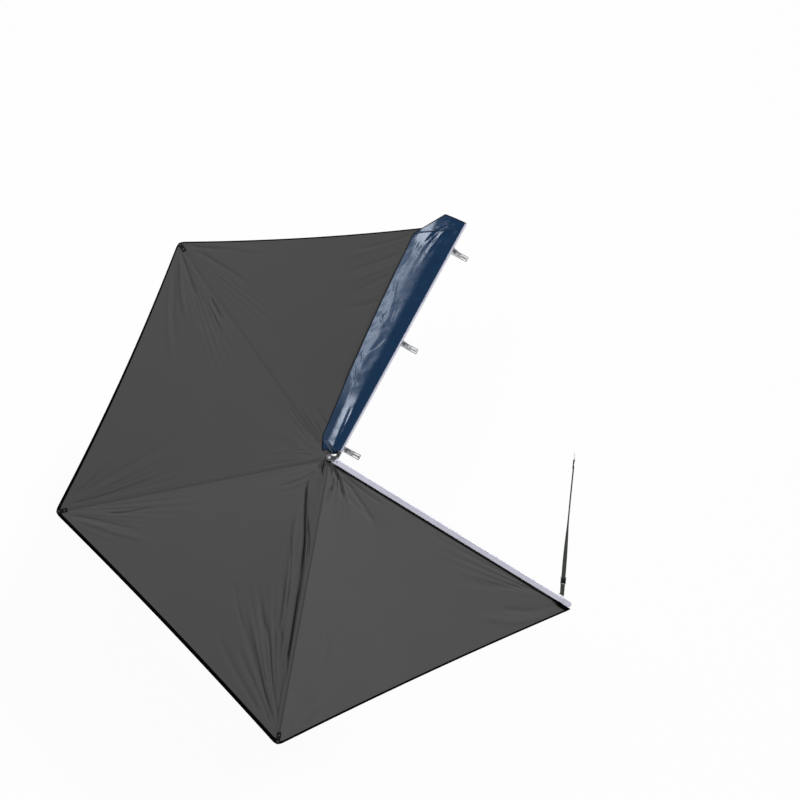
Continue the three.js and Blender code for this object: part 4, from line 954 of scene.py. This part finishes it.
def cover_tape(name, edge):
    """Tape folded round one of the cover's edges."""
    edge[:, 2] -= FLAP_THICK / 2
    return band(name, edge, 0.009, 0.0036, BINDING, crown=0.1, sink=0.0016)


def make_cover_trim():
    """The cover's bindings, the welt of its gusset and the bead in the beam's groove."""
    outer = np.concatenate([np.linspace(0, 1, 260), 1 + np.linspace(0, 1, 24)[1:]])
    far = np.linspace(1, 0.06, 31)[1:]
    outer = cover_points(np.append(outer, np.full(30, 2)), np.append(np.ones_like(outer), far))
    rear = cover_points(np.zeros(50), np.linspace(0.08, 1, 50))
    welt = cover_points(np.ones(60), np.linspace(0.06, 1, 60)) + (0, 0, 0.0012)
    bead = np.linspace((0.094, HINGE_Y, HINGE_LEVEL), (BEAM_END - 0.002, HINGE_Y, HINGE_LEVEL), 160)
    trim = [
        cover_tape("cover_binding", outer),
        cover_tape("cover_rear_binding", rear),
        tube("cover_gusset_welt", welt, 0.0021, BINDING),
        tube("cover_hinge_bead", bead, 0.0016, PVC),
    ]
    return [rides(piece, "cover", "cover_pvc") for piece in trim]


cover = make_cover()
trim = make_cover_trim()


# ---- Tie strap, in its own frame: from the eye's bar towards the hook
STRAP_RUN = (1.178, 0.452)
STRAP_SLOPE = math.atan2(STRAP_RUN[1], STRAP_RUN[0])
STRAP_WIDTH, STRAP_THICK = 0.038, 0.0024
EYE = arm_point(LAST, 2.41, ARM_HALF + 0.0003 + 0.018, 0.0195)
LOOP_END, LOOP_WRAP = 0.0903, 0.0052
BUCKLE_START, BUCKLE_END = 0.0906, 0.1526
HOOK_LENGTH = 0.024 + 0.016 + 0.014
WEB_START, WEB_END = 0.1026, math.hypot(*STRAP_RUN) - HOOK_LENGTH
WEB_LEVEL = -0.0035


def from_strap(points):
    """Points of the strap's frame, from the hub pin."""
    c, s = math.cos(STRAP_SLOPE), math.sin(STRAP_SLOPE)
    x, y, z = np.moveaxis(points, -1, 0)
    return np.stack([x * c - y * s, x * s + y * c, z], -1) + EYE


def web_middle(along):
    x = lerp(WEB_START, WEB_END, along)
    level = BUCKLE_END + (BUCKLE_END - BUCKLE_START) / 2
    free = np.clip((x - level) / (WEB_END - level), 0, None)
    return np.stack([x, np.zeros_like(x), WEB_LEVEL - 0.025 * free - 0.014 * 4 * free * (1 - free)], -1)


def make_webbing():
    along = np.linspace(0, 1, 180)
    middle = web_middle(along)
    turn = np.radians(58 * smooth(along, 0.1, 0.55) + 32 * smooth(along, 0.93, 0.99))[:, None]
    half = np.array([(-1, 0), (-0.96, 0.8), (-0.5, 1), (0, 1), (0.5, 1), (0.96, 0.8)])
    y, z = np.concatenate([half, -half]).T
    y, z = y * STRAP_WIDTH / 2, z * STRAP_THICK / 2
    c, s = np.cos(turn), np.sin(turn)
    rows = middle[:, None] + np.stack([0 * c * y, y * c - z * s, y * s + z * c], -1)
    web = swept("tie_strap", from_strap(rows), STRAP, strip_map(middle, y), 60)
    rides(web, "arm_4", "strap_webbing", "strap_webbing")
    path = from_strap(middle) + HUB
    return web, path, float(distance_along(path)[-1])


def make_loop():
    """Webbing round the eye's bar, doubled and sewn, that ends under the buckle's frame."""
    lean = ARM_BEARINGS[-1] - math.degrees(STRAP_SLOPE)
    bar, away = (np.append(polar(1, lean + turn), 0) for turn in (-180, 90))
    shares = np.linspace(0, 1, 16)[:, None]
    lines = unit(lerp(bar, np.array((0, 1, 0)), shares))
    flat = lerp(away * LOOP_WRAP, np.array((LOOP_END - 0.001, 0, 0)), shares)
    above = np.array((0, 0, 1))
    rise = above * lerp(0.0042, 0.0013, smooth(shares, 0, 0.28))
    turns = np.linspace(math.pi / 2, 3 * math.pi / 2, 14)[1:-1, None]
    back = LOOP_WRAP * (away * np.cos(turns) + above * np.sin(turns))
    middle = np.concatenate([(flat + rise)[::-1], back, flat - rise])
    lines = np.concatenate([lines[::-1], np.broadcast_to(bar, back.shape), lines])
    across = np.linspace(-0.5, 0.5, 9) * STRAP_WIDTH
    grid = middle[:, None] + lines[:, None] * across[:, None]
    loop = shell("strap_sewn_loop", from_strap(grid), 0.0019, STRAP, strip_map(grid[:, 4], across), up=False)
    return rides(loop, "arm_4", "strap_webbing", "strap_loop")


def make_end_fold():
    """The webbing's end turned back through the hook's link and sewn down."""
    line = from_strap(web_middle(np.linspace(0.925, 0.9995, 20)) + (0, 0.003, 0))
    upright = np.broadcast_to((0, 0, 1), line.shape)
    side = unit(np.cross(line_frames(line)[0], upright))
    tape = band("strap_end_fold", line, 0.0372, 0.003, STRAP, frames=(upright, -side))
    return rides(tape, "arm_4", "strap_webbing")


webbing, web_path, web_length = make_webbing()
make_loop()
end_fold = make_end_fold()


# ---- Small fasteners
def bolt(name, place, radius, height, body, material, washer=False):
    """A domed bolt head, on a washer or bare."""
    profile, level = [(0.0004, 0)], 0
    if washer:
        level = 0.0012
        plate = ((1.55, 0), (1.6, 0.0003), (1.55, 0.0011), (1.06, level))
        profile += [(radius * wide, high) for wide, high in plate]
    dome = ((1, 0), (1, 0.55), (0.86, 0.82), (0.5, 1))
    profile += [(radius * wide, level + height * high) for wide, high in dome] + [(0.0004, level + height)]
    turn = np.linspace(90, 450, 20, endpoint=False)
    rings = [np.column_stack([polar(out, turn), np.full(20, up)]) + place for out, up in profile]
    return rides(swept(name, np.array(rings), material, None, 35), body, "zinc_steel")


for number in range(1, LAST):
    for order, reach in enumerate((2.449, 2.501), 1):
        spot = arm_point(number, reach, 0, 0.0486)
        bolt(f"tip_{number}_bolt_{order}", spot, 0.0058, 0.0026, f"arm_{number}", DULL_ZINC)
spot = arm_point(LAST, 2.452, -0.004, ARM_TOP + 0.0002)
bolt("tip_4_bolt", spot, 0.0062, 0.0035, "arm_4", PLATED, washer=True)


# ---- Floor, world and lamps
def make_floor():
    size, drop = 30, -2.27
    data = bpy.data.meshes.new("floor")
    corners = [(-size, -size, drop), (size, -size, drop), (size, size, drop), (-size, size, drop)]
    data.from_pydata(corners, [], [(0, 1, 2, 3)])
    g = new_graph("pale_floor")
    g.tree.nodes.clear()
    ray = g.add("LightPath").outputs
    seen = g.most(g.most(ray["Is Camera Ray"], ray["Is Glossy Ray"]), ray["Is Transmission Ray"])
    matt = g.add("BsdfDiffuse", Color=(0.9, 0.9, 0.9, 1)).outputs[0]
    glow = g.add("Emission", Color=(1, 1, 1, 1), Strength=1).outputs[0]
    mixed = g.add("MixShader", i0=g.times(seen, 0.95), i1=matt, i2=glow)
    g.add("OutputMaterial", i0=mixed.outputs[0])
    data.materials.append(g.owner)
    placed("floor", data)


def make_world():
    """White all round, darker overhead where gloss mirrors it, and weaker as light on matt surfaces."""
    world = bpy.data.worlds.new("studio")
    bpy.context.scene.world = world
    g = Graph(world)
    g.tree.nodes.clear()
    ray = g.add("LightPath").outputs
    spot, overhead = g.add("TexCoord").outputs["Generated"], (0.15, 0.25, 0.957)
    facing = g.add("VectorMath", {"operation": "DOT_PRODUCT"}, i0=spot, i1=overhead).outputs["Value"]
    mirrored = g.most(ray["Is Glossy Ray"], ray["Is Transmission Ray"])
    ceiling = g.ramp(facing, 0.7, 0.9, 1, 0.14)
    matt = g.times(g.maths("SUBTRACT", 1, mirrored), 0.33)
    strength = g.most(g.most(ray["Is Camera Ray"], matt), g.times(mirrored, ceiling))
    back = g.add("Background", Color=(1, 1, 1, 1), Strength=strength)
    g.add("OutputWorld", i0=back.outputs[0])


def towards(direction):
    return direction.to_track_quat("-Z", "Y").to_euler()


def make_lamps():
    sun = bpy.data.lights.new("key", "SUN")
    sun.energy, sun.angle = 1.95, math.radians(7)
    placed("key", sun, turn=towards(Vector((-0.86, 0.28, -0.74))))
    panel = bpy.data.lights.new("softbox", "AREA")
    panel.shape, panel.energy = "RECTANGLE", 150
    panel.size, panel.size_y = 4.6, 1.1
    place, target = Vector((1.1, 2.6, 5.2)), Vector((1.1, 0.1, 0))
    placed("softbox", panel, place, towards(target - place)).visible_camera = False


make_floor()
make_world()
make_lamps()

bpy.context.scene.view_settings.view_transform = "Standard"
